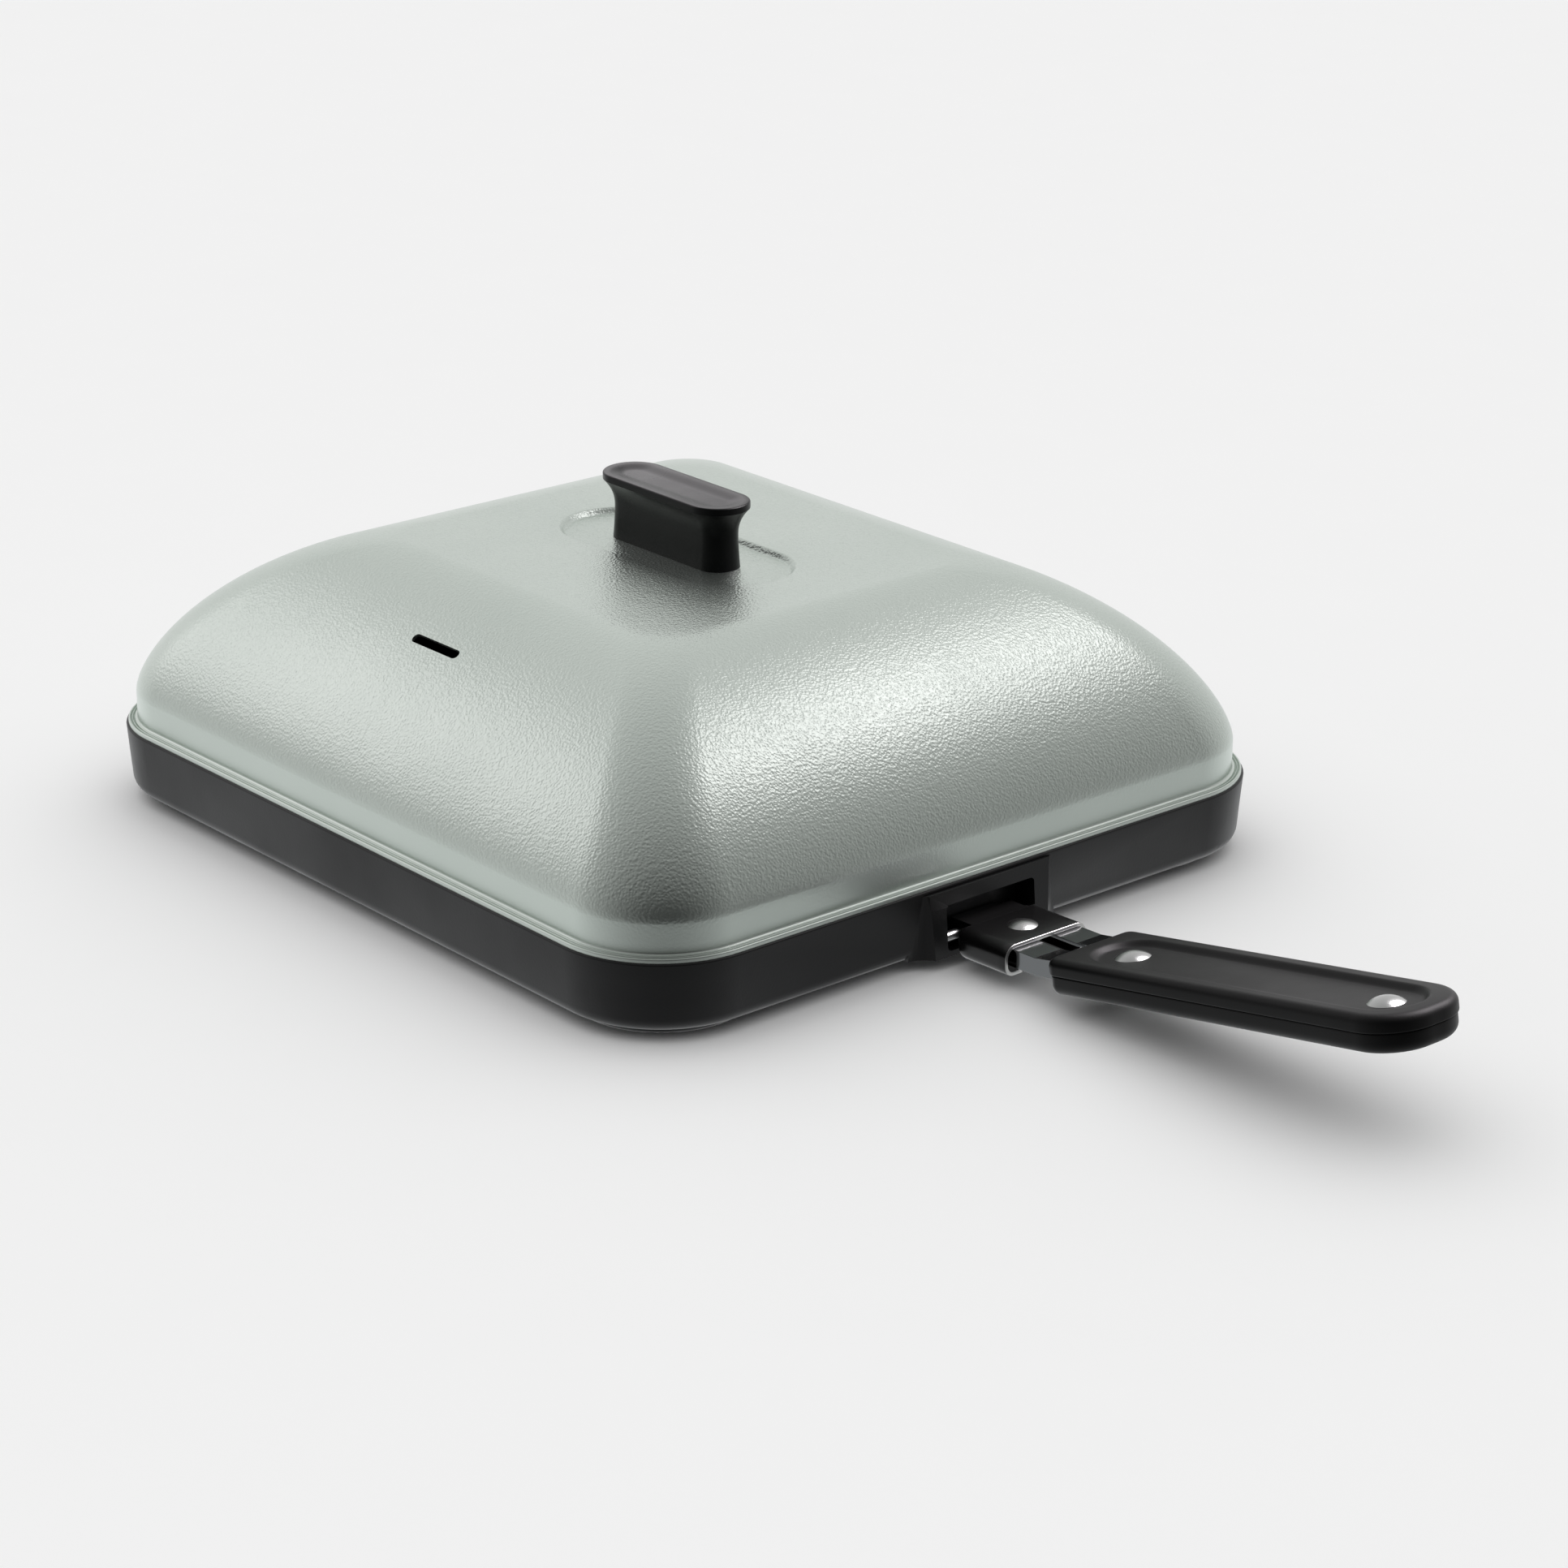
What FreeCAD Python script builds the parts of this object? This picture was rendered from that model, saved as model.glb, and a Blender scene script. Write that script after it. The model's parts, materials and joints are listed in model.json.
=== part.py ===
import FreeCAD, Part
import math
import os

V = FreeCAD.Vector

# A covered cooking pan for ring doughnuts: a cast pan with a domed lid, a nine-ring mould
# inside it and a handle that tips up on a cross pin once its tang is pulled out.
# Frame: millimetres, +Z up, origin at the pan's centre on the plane its feet stand on,
# +X towards the handle.

# --- driving dimensions -------------------------------------------------------------
PAST = 1.0                  # how far a cutter runs past the face that it opens
BITE = 0.5                  # how far a fused piece sinks into its neighbour

PAN_LENGTH = 300.0          # outside of the rim along X
PAN_WIDTH = 270.0           # outside of the rim along Y
PAN_CORNER = 37.0           # plan radius of the rim's corners
PAN_HEIGHT = 26.0           # feet to rim
PAN_WALL = 4.5
PAN_FLOOR = 4.3
PAN_DRAFT = 1.8             # how far the wall leans in from rim to floor
PAN_EDGE = 5.0              # rounding of the bottom edge
PAN_INNER_EDGE = 4.0        # rounding inside, floor to wall
RIM_BREAK = 0.6             # small rounding of the rim's edges

FOOT_HEIGHT = 3.2
FOOT_RADIUS = 28.0
FOOT_EDGE = 1.6

# --- handle boss and its socket -----------------------------------------------------
BOSS_CHEEK = 5.2            # metal beside the socket's mouth, at the front face
BOSS_COVE = 7.0             # width of the hollow curve that joins it to the wall
BOSS_TOP_DROP = 1.2         # boss top below the rim
BOSS_PROUD_TOP = 1.2        # front face beyond the rim, at its top edge
BOSS_PROUD_BOTTOM = 3.0     # and at its bottom edge
SOCKET_SIDE_GAP = 1.3       # socket's side to the sleeve
SOCKET_FLOOR_GAP = 0.3      # socket's floor to the sleeve's ears
SOCKET_TOP_WALL = 4.6       # metal between the socket's mouth and the boss's top
SOCKET_BOTTOM_WALL = 1.6
SOCKET_TIP_GAP = 0.7        # socket's back to the tang's tip
SOCKET_CORNER = 1.5         # rounding of the mouth's corners
SOCKET_BACK_WALL = 2.5
LEDGE_LENGTH = 2.1          # lock ledge along the socket's back wall
LEDGE_HALF = 9.0
LEDGE_GAP = 1.1             # between the ledge and the tang's tip

# --- cross pin ----------------------------------------------------------------------
PIN_RADIUS = 1.75
PIN_SEAT = 3.0              # how far each end goes into the boss's cheeks
PIN_END_GAP = 0.1           # pin's end to the bottom of its hole
PIN_HEIGHT = 9.0            # above the feet

# --- lid ----------------------------------------------------------------------------
LID_SHEET = 1.2
FLANGE_SET_IN = 0.8         # rim's outside to flange's outside
FLANGE_WIDTH = 3.1
FLANGE_THICK = 1.4
FLANGE_EDGE = 0.5
LID_BAND = 9.5              # height of the upright band above the flange
LID_HEIGHT = 67.7           # rim to the lid's flat top
DOME_RUN_Y = 66.0           # plan distance from the band to the flat top, across
DOME_RUN_X = 74.5           # the same along the pan
DOME_POWER = 1.5            # exponent of the dome's superellipse
DOME_TOP_CORNER = 15.0      # plan corner radius of the flat top
DOME_ANGLES = (0, 9, 19, 30, 42, 54, 66, 78, 90)
SKIRT_DEPTH = 3.5           # locating skirt below the rim
SKIRT_GAP = 0.6             # skirt to the pan's inner wall

RECESS_ROOM_X = 20.1        # pressed seat beyond the knob's foot, at its ends
RECESS_ROOM_Y = 13.5        # and at its sides
RECESS_DEPTH = 1.8
RECESS_SLOPE = 1.8          # plan width of the seat's sloping edge

VENT_LENGTH = 23.5
VENT_WIDTH = 3.4
VENT_IN = 34.4              # from the lid's upright band towards the middle, on the -Y side

# --- knob ---------------------------------------------------------------------------
KNOB_HEIGHT = 22.2
KNOB_TOP_HALF_X = 31.6
KNOB_TOP_HALF_Y = 10.5
KNOB_BASE_HALF_Y = 7.3
KNOB_NECK_IN = 0.6          # neck narrower than the base, each side
KNOB_DISH_DEPTH = 1.0
KNOB_DISH_SLOPE = 1.3       # plan width of the dish's sloping edge
KNOB_RIM = 2.1              # rim band round the dish
KNOB_BOLT_OUT = 14.0        # bolt to the knob's centre
BOLT_RADIUS = 2.0
BOLT_GAP = 0.15             # radial clearance of a bolt or rivet in plain sheet
BOLT_HEAD_RIM = 1.8         # head wider than the shank, each side
BOLT_HEAD_HEIGHT = 2.4
BOLT_REACH = 9.0            # into the knob
CROSS_HALF = 0.45           # driver recess: half width of an arm
CROSS_DEPTH = 1.3
WASHER_RIM = 1.2            # washer wider than the head, each side
WASHER_THICK = 0.8
INSERT_WALL = 1.0
INSERT_BEYOND = 1.0         # insert longer than the bolt's reach
HOLE_END_GAP = 0.5          # blind hole deeper than what goes into it
FIT_GAP = 0.02              # round pieces seated in one another

# --- mould --------------------------------------------------------------------------
RINGS_X = 3
RINGS_Y = 3
MOULD_DROP = 4.0            # rim to the mould's top face
MOULD_SHEET = 1.5
MOULD_MARGIN = 6.5          # mould's edge to the pan's wall at the rim
MOULD_CORNER_EASE = 2.0     # its corners tighter than the pan's, for room there
FRAME_WALL = 1.5
RING_LAND = 3.33            # deck between a cup's outside and the edge of its tile, at the narrowest
RING_HOLE = 9.0             # radius of the closed middle
CUP_FLOOR_GAP = 0.7         # cup's underside to the pan's floor

# --- handle sleeve, in the handle's frame: x out from the pin, z up from it ----------
HANDLE_PITCH = 2.0          # degrees the sleeve points up at rest
SLEEVE_OFF_BOSS = 3.0       # wide part's rear end to the boss's front face
SLEEVE_LENGTH = 20.5
SLEEVE_HALF = 17.0
SLEEVE_DEPTH = 9.85
SLEEVE_SHEET = 1.2
SLEEVE_ROUND = 3.2          # bend radius of its long edges, outside
SLEEVE_REAR_ROUND = 4.0     # rounded lower rear corners
SLEEVE_LIP = 7.0            # how far the lower edges turn in
EAR_HALF = 11.5             # half width of the narrow part that carries the pin
EAR_RIM = 1.45              # metal round the pin
EAR_OVERLAP = 2.0           # narrow part's length inside the wide part
EAR_REAR = -1.0             # rear end of the narrow part's top plate
PIN_GAP = 0.08              # radial running clearance on the pin

# --- tang ---------------------------------------------------------------------------
TANG_SHEET = 1.05
TANG_GAP = 0.08             # under the sleeve's top plate
TANG_PIN_GAP = 0.17         # over the pin
TANG_SIDE_GAP = 1.8         # tang to the sleeve's side
TANG_DEPTH = 5.7            # height of its channel section
TANG_TIP = -5.8             # inner end at rest
TANG_TIP_GAP = 0.9          # tip to the ears, each side
TANG_SHOULDER_GAP = 1.0     # full width to the ears' front ends
TANG_BEND_OFF_SLEEVE = 9.5  # sleeve's front edge to the bend
TANG_STRAP_HALF = 9.0
TANG_STRAP_BEYOND = 6.5     # strap past the far rivet
TANG_IN_GRIP = 3.0          # channel's length inside the grip
WEB_IN = 0.8                # cross web that joins the channel to the strap
WEB_THICK = 1.4
SLOT_HALF = 3.5
SLOT_OFF_GRIP = 1.3         # slot's outer end to the grip's end
SLOT_GAP = 0.3              # slot's inner end to the guide rivet when the tang is right out
LOCK_TRAVEL = 12.0
GUIDE_SET_IN = 10.5         # guide rivet to the sleeve's front edge
GUIDE_SIDE_GAP = 0.1        # guide rivet to the slot's sides
GUIDE_HEAD_RIM = 1.4        # head wider than the shank, each side
GUIDE_HEAD_HEIGHT = 1.3
GUIDE_WASHER_RIM = 3.6      # washer wider than the shank, each side
GUIDE_WASHER_THICK = 0.8
GUIDE_WASHER_GAP = 0.1
GUIDE_TAIL_RIM = 0.9
GUIDE_TAIL_HEIGHT = 0.6

# --- grip, in its own frame: u along, v across, n up from the joint line -------------
GRIP_OFF_SLEEVE = 17.8      # sleeve's front edge to the grip's end
GRIP_BELOW_TANG = 2.02      # joint line at the grip's end below the tang's straight top
GRIP_PITCH = 8.9            # degrees above the sleeve
GRIP_LENGTH = 138.5
GRIP_CHEEK = 4.0            # grip's side to the tang inside it
GRIP_UPPER = 5.2
GRIP_LOWER = 6.4
GRIP_HEEL_ROUND = 4.0       # plan corners at the pan end
GRIP_TIP_FLAT = 2.5         # half the flat left between the far end's round corners
GRIP_TOP_EDGE = 2.6
GRIP_BOTTOM_EDGE = 4.0
GRIP_SEAM_STEP = 0.5        # lower half set in from the upper
GRIP_POCKET_GAP = 0.15
MOUTH_BEYOND = 2.0          # pocket's mouth deeper than the tang's channel reaches
SEAM_EDGE = 0.6             # small rounding along the joint line
DISH_RIM = 5.2              # grip's side to the recess
DISH_DEPTH = 1.7
DISH_SLOPE = 1.2
RIVET_NEAR = 19.5
RIVET_FAR_END = 19.0        # far rivet to the grip's far end
RIVET_RADIUS = 2.5
RIVET_HEAD_RIM = 3.1        # head wider than the shank, each side
RIVET_HEAD_HEIGHT = 1.9
RIVET_WASHER_RIM = 3.5      # washer wider than the shank, each side
RIVET_SEAT_GAP = 0.3
RIVET_WASHER_THICK = 0.8
RIVET_TAIL_RIM = 1.1
RIVET_TAIL_HEIGHT = 0.7

# --- worked out from the above ------------------------------------------------------
HALF_X = PAN_LENGTH / 2
HALF_Y = PAN_WIDTH / 2
FLOOR_UNDER = FOOT_HEIGHT
FLOOR_TOP = FOOT_HEIGHT + PAN_FLOOR
PIN_AT = V(HALF_X, 0, PIN_HEIGHT)

EAR_RADIUS = PIN_RADIUS + EAR_RIM
TANG_UNDER = PIN_RADIUS + TANG_PIN_GAP
TANG_TOP = TANG_UNDER + TANG_SHEET
SLEEVE_TOP = TANG_TOP + TANG_GAP + SLEEVE_SHEET
SLEEVE_BOTTOM = SLEEVE_TOP - SLEEVE_DEPTH
SLEEVE_START = BOSS_PROUD_BOTTOM + SLEEVE_OFF_BOSS
SLEEVE_END = SLEEVE_START + SLEEVE_LENGTH
EAR_FRONT = SLEEVE_START + EAR_OVERLAP
TANG_HALF = SLEEVE_HALF - SLEEVE_SHEET - TANG_SIDE_GAP
TANG_TIP_HALF = EAR_HALF - SLEEVE_SHEET - TANG_TIP_GAP
TANG_SHOULDER = EAR_FRONT + TANG_SHOULDER_GAP
GUIDE_OUT = SLEEVE_END - GUIDE_SET_IN
GUIDE_RADIUS = SLOT_HALF - GUIDE_SIDE_GAP
GRIP_START_X = SLEEVE_END + GRIP_OFF_SLEEVE
GRIP_START_Z = TANG_TOP - GRIP_BELOW_TANG
GRIP_HALF = TANG_HALF + GRIP_CHEEK
GRIP_TIP_ROUND = GRIP_HALF - GRIP_TIP_FLAT
TANG_BEND = SLEEVE_END + TANG_BEND_OFF_SLEEVE
SLOT_END = GRIP_START_X - SLOT_OFF_GRIP

SOCKET_HALF = SLEEVE_HALF + SOCKET_SIDE_GAP
BOSS_HALF = SOCKET_HALF + BOSS_CHEEK
BOSS_TOP = PAN_HEIGHT - BOSS_TOP_DROP
SOCKET_TOP = BOSS_TOP - SOCKET_TOP_WALL
SOCKET_FLOOR = PIN_HEIGHT - EAR_RADIUS - SOCKET_FLOOR_GAP
BOSS_BOTTOM = SOCKET_FLOOR - SOCKET_BOTTOM_WALL
SOCKET_DEPTH = SOCKET_TIP_GAP - TANG_TIP
SOCKET_BACK = HALF_X - SOCKET_DEPTH

LID_SET_IN = FLANGE_SET_IN + FLANGE_WIDTH
LID_TOP = PAN_HEIGHT + LID_HEIGHT
SEAT_TOP = LID_TOP - RECESS_DEPTH
SEAT_UNDER = SEAT_TOP - LID_SHEET
KNOB_FLARE = KNOB_TOP_HALF_Y - KNOB_BASE_HALF_Y
KNOB_BASE_HALF_X = KNOB_TOP_HALF_X - KNOB_FLARE
RECESS_HALF_X = KNOB_BASE_HALF_X + RECESS_ROOM_X
RECESS_HALF_Y = KNOB_BASE_HALF_Y + RECESS_ROOM_Y
BOLT_HEAD_RADIUS = BOLT_RADIUS + BOLT_HEAD_RIM
WASHER_RADIUS = BOLT_HEAD_RADIUS + WASHER_RIM
INSERT_RADIUS = BOLT_RADIUS + INSERT_WALL
INSERT_LENGTH = BOLT_REACH + INSERT_BEYOND

MOULD_TOP = PAN_HEIGHT - MOULD_DROP
MOULD_HALF_X = HALF_X - PAN_WALL - MOULD_MARGIN
MOULD_HALF_Y = HALF_Y - PAN_WALL - MOULD_MARGIN
MOULD_CORNER = PAN_CORNER - PAN_WALL - MOULD_MARGIN - MOULD_CORNER_EASE
TILE_X = 2 * (MOULD_HALF_X - FRAME_WALL) / RINGS_X
TILE_Y = 2 * (MOULD_HALF_Y - FRAME_WALL) / RINGS_Y
RING_OUTSIDE = min(TILE_X, TILE_Y) / 2 - RING_LAND - MOULD_SHEET
GROOVE_HALF = (RING_OUTSIDE - RING_HOLE) / 2
RING_MIDDLE = RING_HOLE + GROOVE_HALF
GROOVE_DEPTH = MOULD_TOP - FLOOR_TOP - MOULD_SHEET - CUP_FLOOR_GAP

DISH_HALF = GRIP_HALF - DISH_RIM
RIVET_PITCH = GRIP_LENGTH - RIVET_NEAR - RIVET_FAR_END
RIVET_PLACES = (RIVET_NEAR, RIVET_NEAR + RIVET_PITCH)
TANG_STRAP_LENGTH = RIVET_NEAR + RIVET_PITCH + TANG_STRAP_BEYOND


# --- helpers ------------------------------------------------------------------------
def rounded_rect(half_x, half_y, radius, z=0.0, tip_radius=None):
    """Closed level outline with round corners; tip_radius rounds its +X corners alone."""
    tip = radius if tip_radius is None else tip_radius
    corners = ((1, 1, tip), (-1, 1, radius), (-1, -1, radius), (1, -1, tip))
    arcs = []
    for quarter, (side_x, side_y, r) in enumerate(corners):
        centre = V(side_x * (half_x - r), side_y * (half_y - r), z)
        turns = [math.radians(90 * quarter + step) for step in (0, 45, 90)]
        arcs.append([centre + V(r * math.cos(t), r * math.sin(t), 0) for t in turns])
    edges = []
    for here, after in zip(arcs, arcs[1:] + arcs[:1]):
        edges.append(Part.Arc(*here).toShape())
        if (here[2] - after[0]).Length > 1e-6:
            edges.append(Part.makeLine(here[2], after[0]))
    return Part.Wire(edges)


def stadium(half_x, half_y, z=0.0):
    return rounded_rect(half_x, half_y, half_y, z)


def prism(wire, height):
    return Part.Face(wire).extrude(V(0, 0, height))


def block(x0, x1, half_y, z0, z1):
    return Part.makeBox(x1 - x0, 2 * half_y, z1 - z0, V(x0, -half_y, z0))


def cylinder(radius, x, y, z0, z1):
    return Part.makeCylinder(radius, z1 - z0, V(x, y, z0))


def cross_rod(radius, half_y, x, z):
    """Round bar along Y, centred on the XZ plane."""
    return Part.makeCylinder(radius, 2 * half_y, V(x, -half_y, z), V(0, 1, 0))


def side_plate(points, half_y):
    """Outline in the XZ plane, carried across from -half_y to half_y."""
    wire = Part.makePolygon([V(x, -half_y, z) for x, z in points + points[:1]])
    return Part.Face(wire).extrude(V(0, 2 * half_y, 0))


def level_edges(shape, z):
    return [e for e in shape.Edges if abs(e.BoundBox.ZMin - z) < 1e-4 and abs(e.BoundBox.ZMax - z) < 1e-4]


def turn_up(shape, centre, degrees):
    """Turns a shape about a cross axis so that its +X end rises."""
    shape.rotate(centre, V(0, -1, 0), degrees)
    return shape


def in_handle(shape):
    """Moves a shape from the handle's frame to its place on the pin."""
    shape.translate(PIN_AT)
    return turn_up(shape, PIN_AT, HANDLE_PITCH)


def in_grip(shape):
    """Moves a shape from the grip's frame to the handle's frame."""
    turn_up(shape, V(0, 0, 0), GRIP_PITCH)
    shape.translate(V(GRIP_START_X, 0, GRIP_START_Z))
    return shape


def dome_head(radius, height, z):
    """Low round rivet head that stands on the level z, centred on the Z axis."""
    ball = (radius ** 2 + height ** 2) / (2 * height)
    cap = Part.makeSphere(ball, V(0, 0, z + height - ball))
    return cap.common(cylinder(radius, 0, 0, z, z + height))


# --- pan ----------------------------------------------------------------------------
def pan_shell():
    """Drafted tray with a rounded bottom edge, hollowed from above."""
    outer = Part.makeLoft([
        rounded_rect(HALF_X - PAN_DRAFT, HALF_Y - PAN_DRAFT, PAN_CORNER - PAN_DRAFT, FLOOR_UNDER),
        rounded_rect(HALF_X, HALF_Y, PAN_CORNER, PAN_HEIGHT)], True, True)
    outer = outer.makeFillet(PAN_EDGE, level_edges(outer, FLOOR_UNDER))
    outer = outer.makeFillet(RIM_BREAK, level_edges(outer, PAN_HEIGHT))
    low = PAN_WALL + PAN_DRAFT
    cavity = Part.makeLoft([
        rounded_rect(HALF_X - low, HALF_Y - low, PAN_CORNER - low, FLOOR_TOP),
        rounded_rect(HALF_X - PAN_WALL, HALF_Y - PAN_WALL, PAN_CORNER - PAN_WALL, PAN_HEIGHT)], True, True)
    cavity = cavity.makeFillet(PAN_INNER_EDGE, level_edges(cavity, FLOOR_TOP))
    return outer.cut(cavity)


def foot(x, y):
    pad = cylinder(FOOT_RADIUS, x, y, 0, FLOOR_UNDER + BITE)
    return pad.makeFillet(FOOT_EDGE, level_edges(pad, 0))


def boss():
    """Cast boss on the +X wall: hollow-curved flanks in plan, front face leaning out as it drops."""
    root = HALF_X - PAN_WALL + 2 * BITE
    front = HALF_X + BOSS_PROUD_BOTTOM
    wide = BOSS_HALF + BOSS_COVE
    turn = V(HALF_X + 0.2 * BOSS_PROUD_BOTTOM, BOSS_HALF + 0.3 * BOSS_COVE, 0)
    side = [V(HALF_X - PAN_DRAFT, wide, 0), turn, V(front, BOSS_HALF, 0)]
    mirror = [V(p.x, -p.y, 0) for p in side]
    outline = Part.Wire([
        Part.makeLine(V(root, -wide, 0), mirror[0]),
        Part.Arc(*mirror).toShape(),
        Part.makeLine(mirror[2], side[2]),
        Part.Arc(side[2], side[1], side[0]).toShape(),
        Part.makeLine(side[0], V(root, wide, 0)),
        Part.makeLine(V(root, wide, 0), V(root, -wide, 0))])
    solid = prism(outline, BOSS_TOP - BOSS_BOTTOM)
    solid.translate(V(0, 0, BOSS_BOTTOM))
    lean = side_plate([
        (HALF_X + BOSS_PROUD_BOTTOM, BOSS_BOTTOM), (HALF_X + BOSS_PROUD_TOP, BOSS_TOP),
        (front + PAST, BOSS_TOP), (front + PAST, BOSS_BOTTOM)], wide)
    return solid.cut(lean)


def socket():
    """Mouth in the boss that the handle's narrow end turns in."""
    mouth = rounded_rect((SOCKET_TOP - SOCKET_FLOOR) / 2, SOCKET_HALF, SOCKET_CORNER)
    hole = prism(mouth, SOCKET_DEPTH + BOSS_PROUD_BOTTOM + PAST)
    hole.rotate(V(0, 0, 0), V(0, 1, 0), 90)
    hole.translate(V(SOCKET_BACK, 0, (SOCKET_TOP + SOCKET_FLOOR) / 2))
    return hole


def pin_hole():
    return cross_rod(PIN_RADIUS + FIT_GAP, SOCKET_HALF + PIN_SEAT, HALF_X, PIN_HEIGHT)


def make_pan():
    pan = pan_shell()
    corner_x = HALF_X - PAN_CORNER
    corner_y = HALF_Y - PAN_CORNER
    for x in (-corner_x, corner_x):
        for y in (-corner_y, corner_y):
            pan = pan.fuse(foot(x, y))
    backing = block(
        SOCKET_BACK - SOCKET_BACK_WALL, HALF_X - PAN_DRAFT - BITE, SOCKET_HALF + SOCKET_BACK_WALL,
        FLOOR_TOP - BITE, PAN_HEIGHT - SKIRT_DEPTH - SKIRT_GAP)
    pan = pan.fuse([boss(), backing]).cut(socket())
    ledge_top = PIN_HEIGHT + TANG_UNDER - LEDGE_GAP
    ledge = block(SOCKET_BACK - BITE, SOCKET_BACK + LEDGE_LENGTH, LEDGE_HALF, SOCKET_FLOOR - BITE, ledge_top)
    return pan.fuse(ledge).cut(pin_hole()).removeSplitter()


def make_pin():
    return cross_rod(PIN_RADIUS, SOCKET_HALF + PIN_SEAT - PIN_END_GAP, HALF_X, PIN_HEIGHT)


# --- mould --------------------------------------------------------------------------
def make_mould_frame():
    """Turned-down rim that stands on the pan's floor round the nine cups."""
    height = MOULD_TOP - FLOOR_TOP
    outer = rounded_rect(MOULD_HALF_X, MOULD_HALF_Y, MOULD_CORNER, FLOOR_TOP)
    inner = rounded_rect(
        MOULD_HALF_X - FRAME_WALL, MOULD_HALF_Y - FRAME_WALL, MOULD_CORNER - FRAME_WALL, FLOOR_TOP)
    return prism(outer, height).cut(prism(inner, height))


def groove(extra):
    """Half-elliptical ring below the mould's top face, grown by extra all round."""
    half = GROOVE_HALF + extra
    depth = GROOVE_DEPTH + extra
    curve = Part.Ellipse(V(RING_MIDDLE, 0, 0), max(half, depth), min(half, depth))
    curve.AngleXU = 0 if half >= depth else math.pi / 2
    start = math.pi - curve.AngleXU
    arc = Part.ArcOfEllipse(curve, start, start + math.pi).toShape()
    chord = Part.makeLine(V(RING_MIDDLE + half, 0, 0), V(RING_MIDDLE - half, 0, 0))
    face = Part.Face(Part.Wire([arc, chord]))
    face.rotate(V(0, 0, 0), V(1, 0, 0), 90)
    return face.revolve(V(0, 0, 0), V(0, 0, 1), 360)


def make_cup(column, row):
    """One pressed ring cup with its rectangular deck, closed over the middle."""
    deck = Part.makeBox(TILE_X, TILE_Y, MOULD_SHEET, V(-TILE_X / 2, -TILE_Y / 2, -MOULD_SHEET))
    for edge_x in (-1, 1):
        for edge_y in (-1, 1):
            at_corner = column == (RINGS_X - 1) * (edge_x + 1) / 2 and row == (RINGS_Y - 1) * (edge_y + 1) / 2
            if at_corner:
                corner = [e for e in deck.Edges if e.BoundBox.ZLength > 0.9 * MOULD_SHEET and
                          e.CenterOfMass.x * edge_x > 0 and e.CenterOfMass.y * edge_y > 0]
                deck = deck.makeFillet(MOULD_CORNER - FRAME_WALL, corner)
    cup = deck.fuse(groove(MOULD_SHEET)).cut(groove(0.0))
    cup.translate(V((column - (RINGS_X - 1) / 2) * TILE_X, (row - (RINGS_Y - 1) / 2) * TILE_Y, MOULD_TOP))
    return cup


# --- lid ----------------------------------------------------------------------------
def dome_point(angle):
    """Share of the dome's run, and its height above the band, at an angle from 0 to 90 degrees."""
    t = math.radians(angle)
    power = 2 / DOME_POWER
    rise = LID_HEIGHT - LID_BAND - FLANGE_THICK
    return 1 - max(math.cos(t), 0.0) ** power, rise * math.sin(t) ** power


def dome_normal(angle):
    """Outward and upward parts of the dome's normal on its +Y side."""
    step = 0.5
    low = dome_point(max(angle - step, 0))
    high = dome_point(min(angle + step, 90))
    run = (high[0] - low[0]) * DOME_RUN_Y
    rise = high[1] - low[1]
    length = math.hypot(run, rise)
    return rise / length, run / length


def dome_wire(angle, inset):
    share, rise = dome_point(angle)
    out, up = dome_normal(angle)
    if angle == 0:
        out, up = 1.0, 0.0
    if angle == 90:
        out, up = 0.0, 1.0
    foot_radius = PAN_CORNER - LID_SET_IN
    radius = DOME_TOP_CORNER + (foot_radius - DOME_TOP_CORNER) * (1 - share) ** 2 - inset * out
    base = PAN_HEIGHT + FLANGE_THICK + LID_BAND
    return rounded_rect(
        HALF_X - LID_SET_IN - DOME_RUN_X * share - inset * out,
        HALF_Y - LID_SET_IN - DOME_RUN_Y * share - inset * out,
        radius, base + rise - inset * up)


def dome_solid(inset):
    """Upright band and dome, set in by the sheet's thickness for the inside."""
    foot_wire = rounded_rect(
        HALF_X - LID_SET_IN - inset, HALF_Y - LID_SET_IN - inset, PAN_CORNER - LID_SET_IN - inset,
        PAN_HEIGHT + FLANGE_THICK - BITE)
    band = prism(foot_wire, LID_BAND + BITE)
    dome = Part.makeLoft([dome_wire(a, inset) for a in DOME_ANGLES], True, False)
    return band.fuse(dome)


def recess(grow, drop, height):
    """Stadium with sloping edges: the knob's seat, grown and lowered for the sheet's underside."""
    low = SEAT_TOP - drop
    share = height / RECESS_DEPTH
    half_x = RECESS_HALF_X - RECESS_SLOPE + grow
    half_y = RECESS_HALF_Y - RECESS_SLOPE + grow
    return Part.makeLoft([
        stadium(half_x, half_y, low),
        stadium(half_x + RECESS_SLOPE * share, half_y + RECESS_SLOPE * share, low + height)], True, True)


def vent():
    """Round-ended slot through the shoulder on the -Y side, square to the sheet."""
    share = VENT_IN / DOME_RUN_Y
    angle = math.degrees(math.acos((1 - share) ** (DOME_POWER / 2)))
    out, up = dome_normal(angle)
    cutter = prism(stadium(VENT_LENGTH / 2, VENT_WIDTH / 2), 2 * (LID_SHEET + PAST))
    cutter.translate(V(0, 0, -LID_SHEET - PAST))
    cutter.rotate(V(0, 0, 0), V(1, 0, 0), math.degrees(math.atan2(out, up)))
    base = PAN_HEIGHT + FLANGE_THICK + LID_BAND
    cutter.translate(V(0, VENT_IN + LID_SET_IN - HALF_Y, base + dome_point(angle)[1]))
    return cutter


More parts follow.
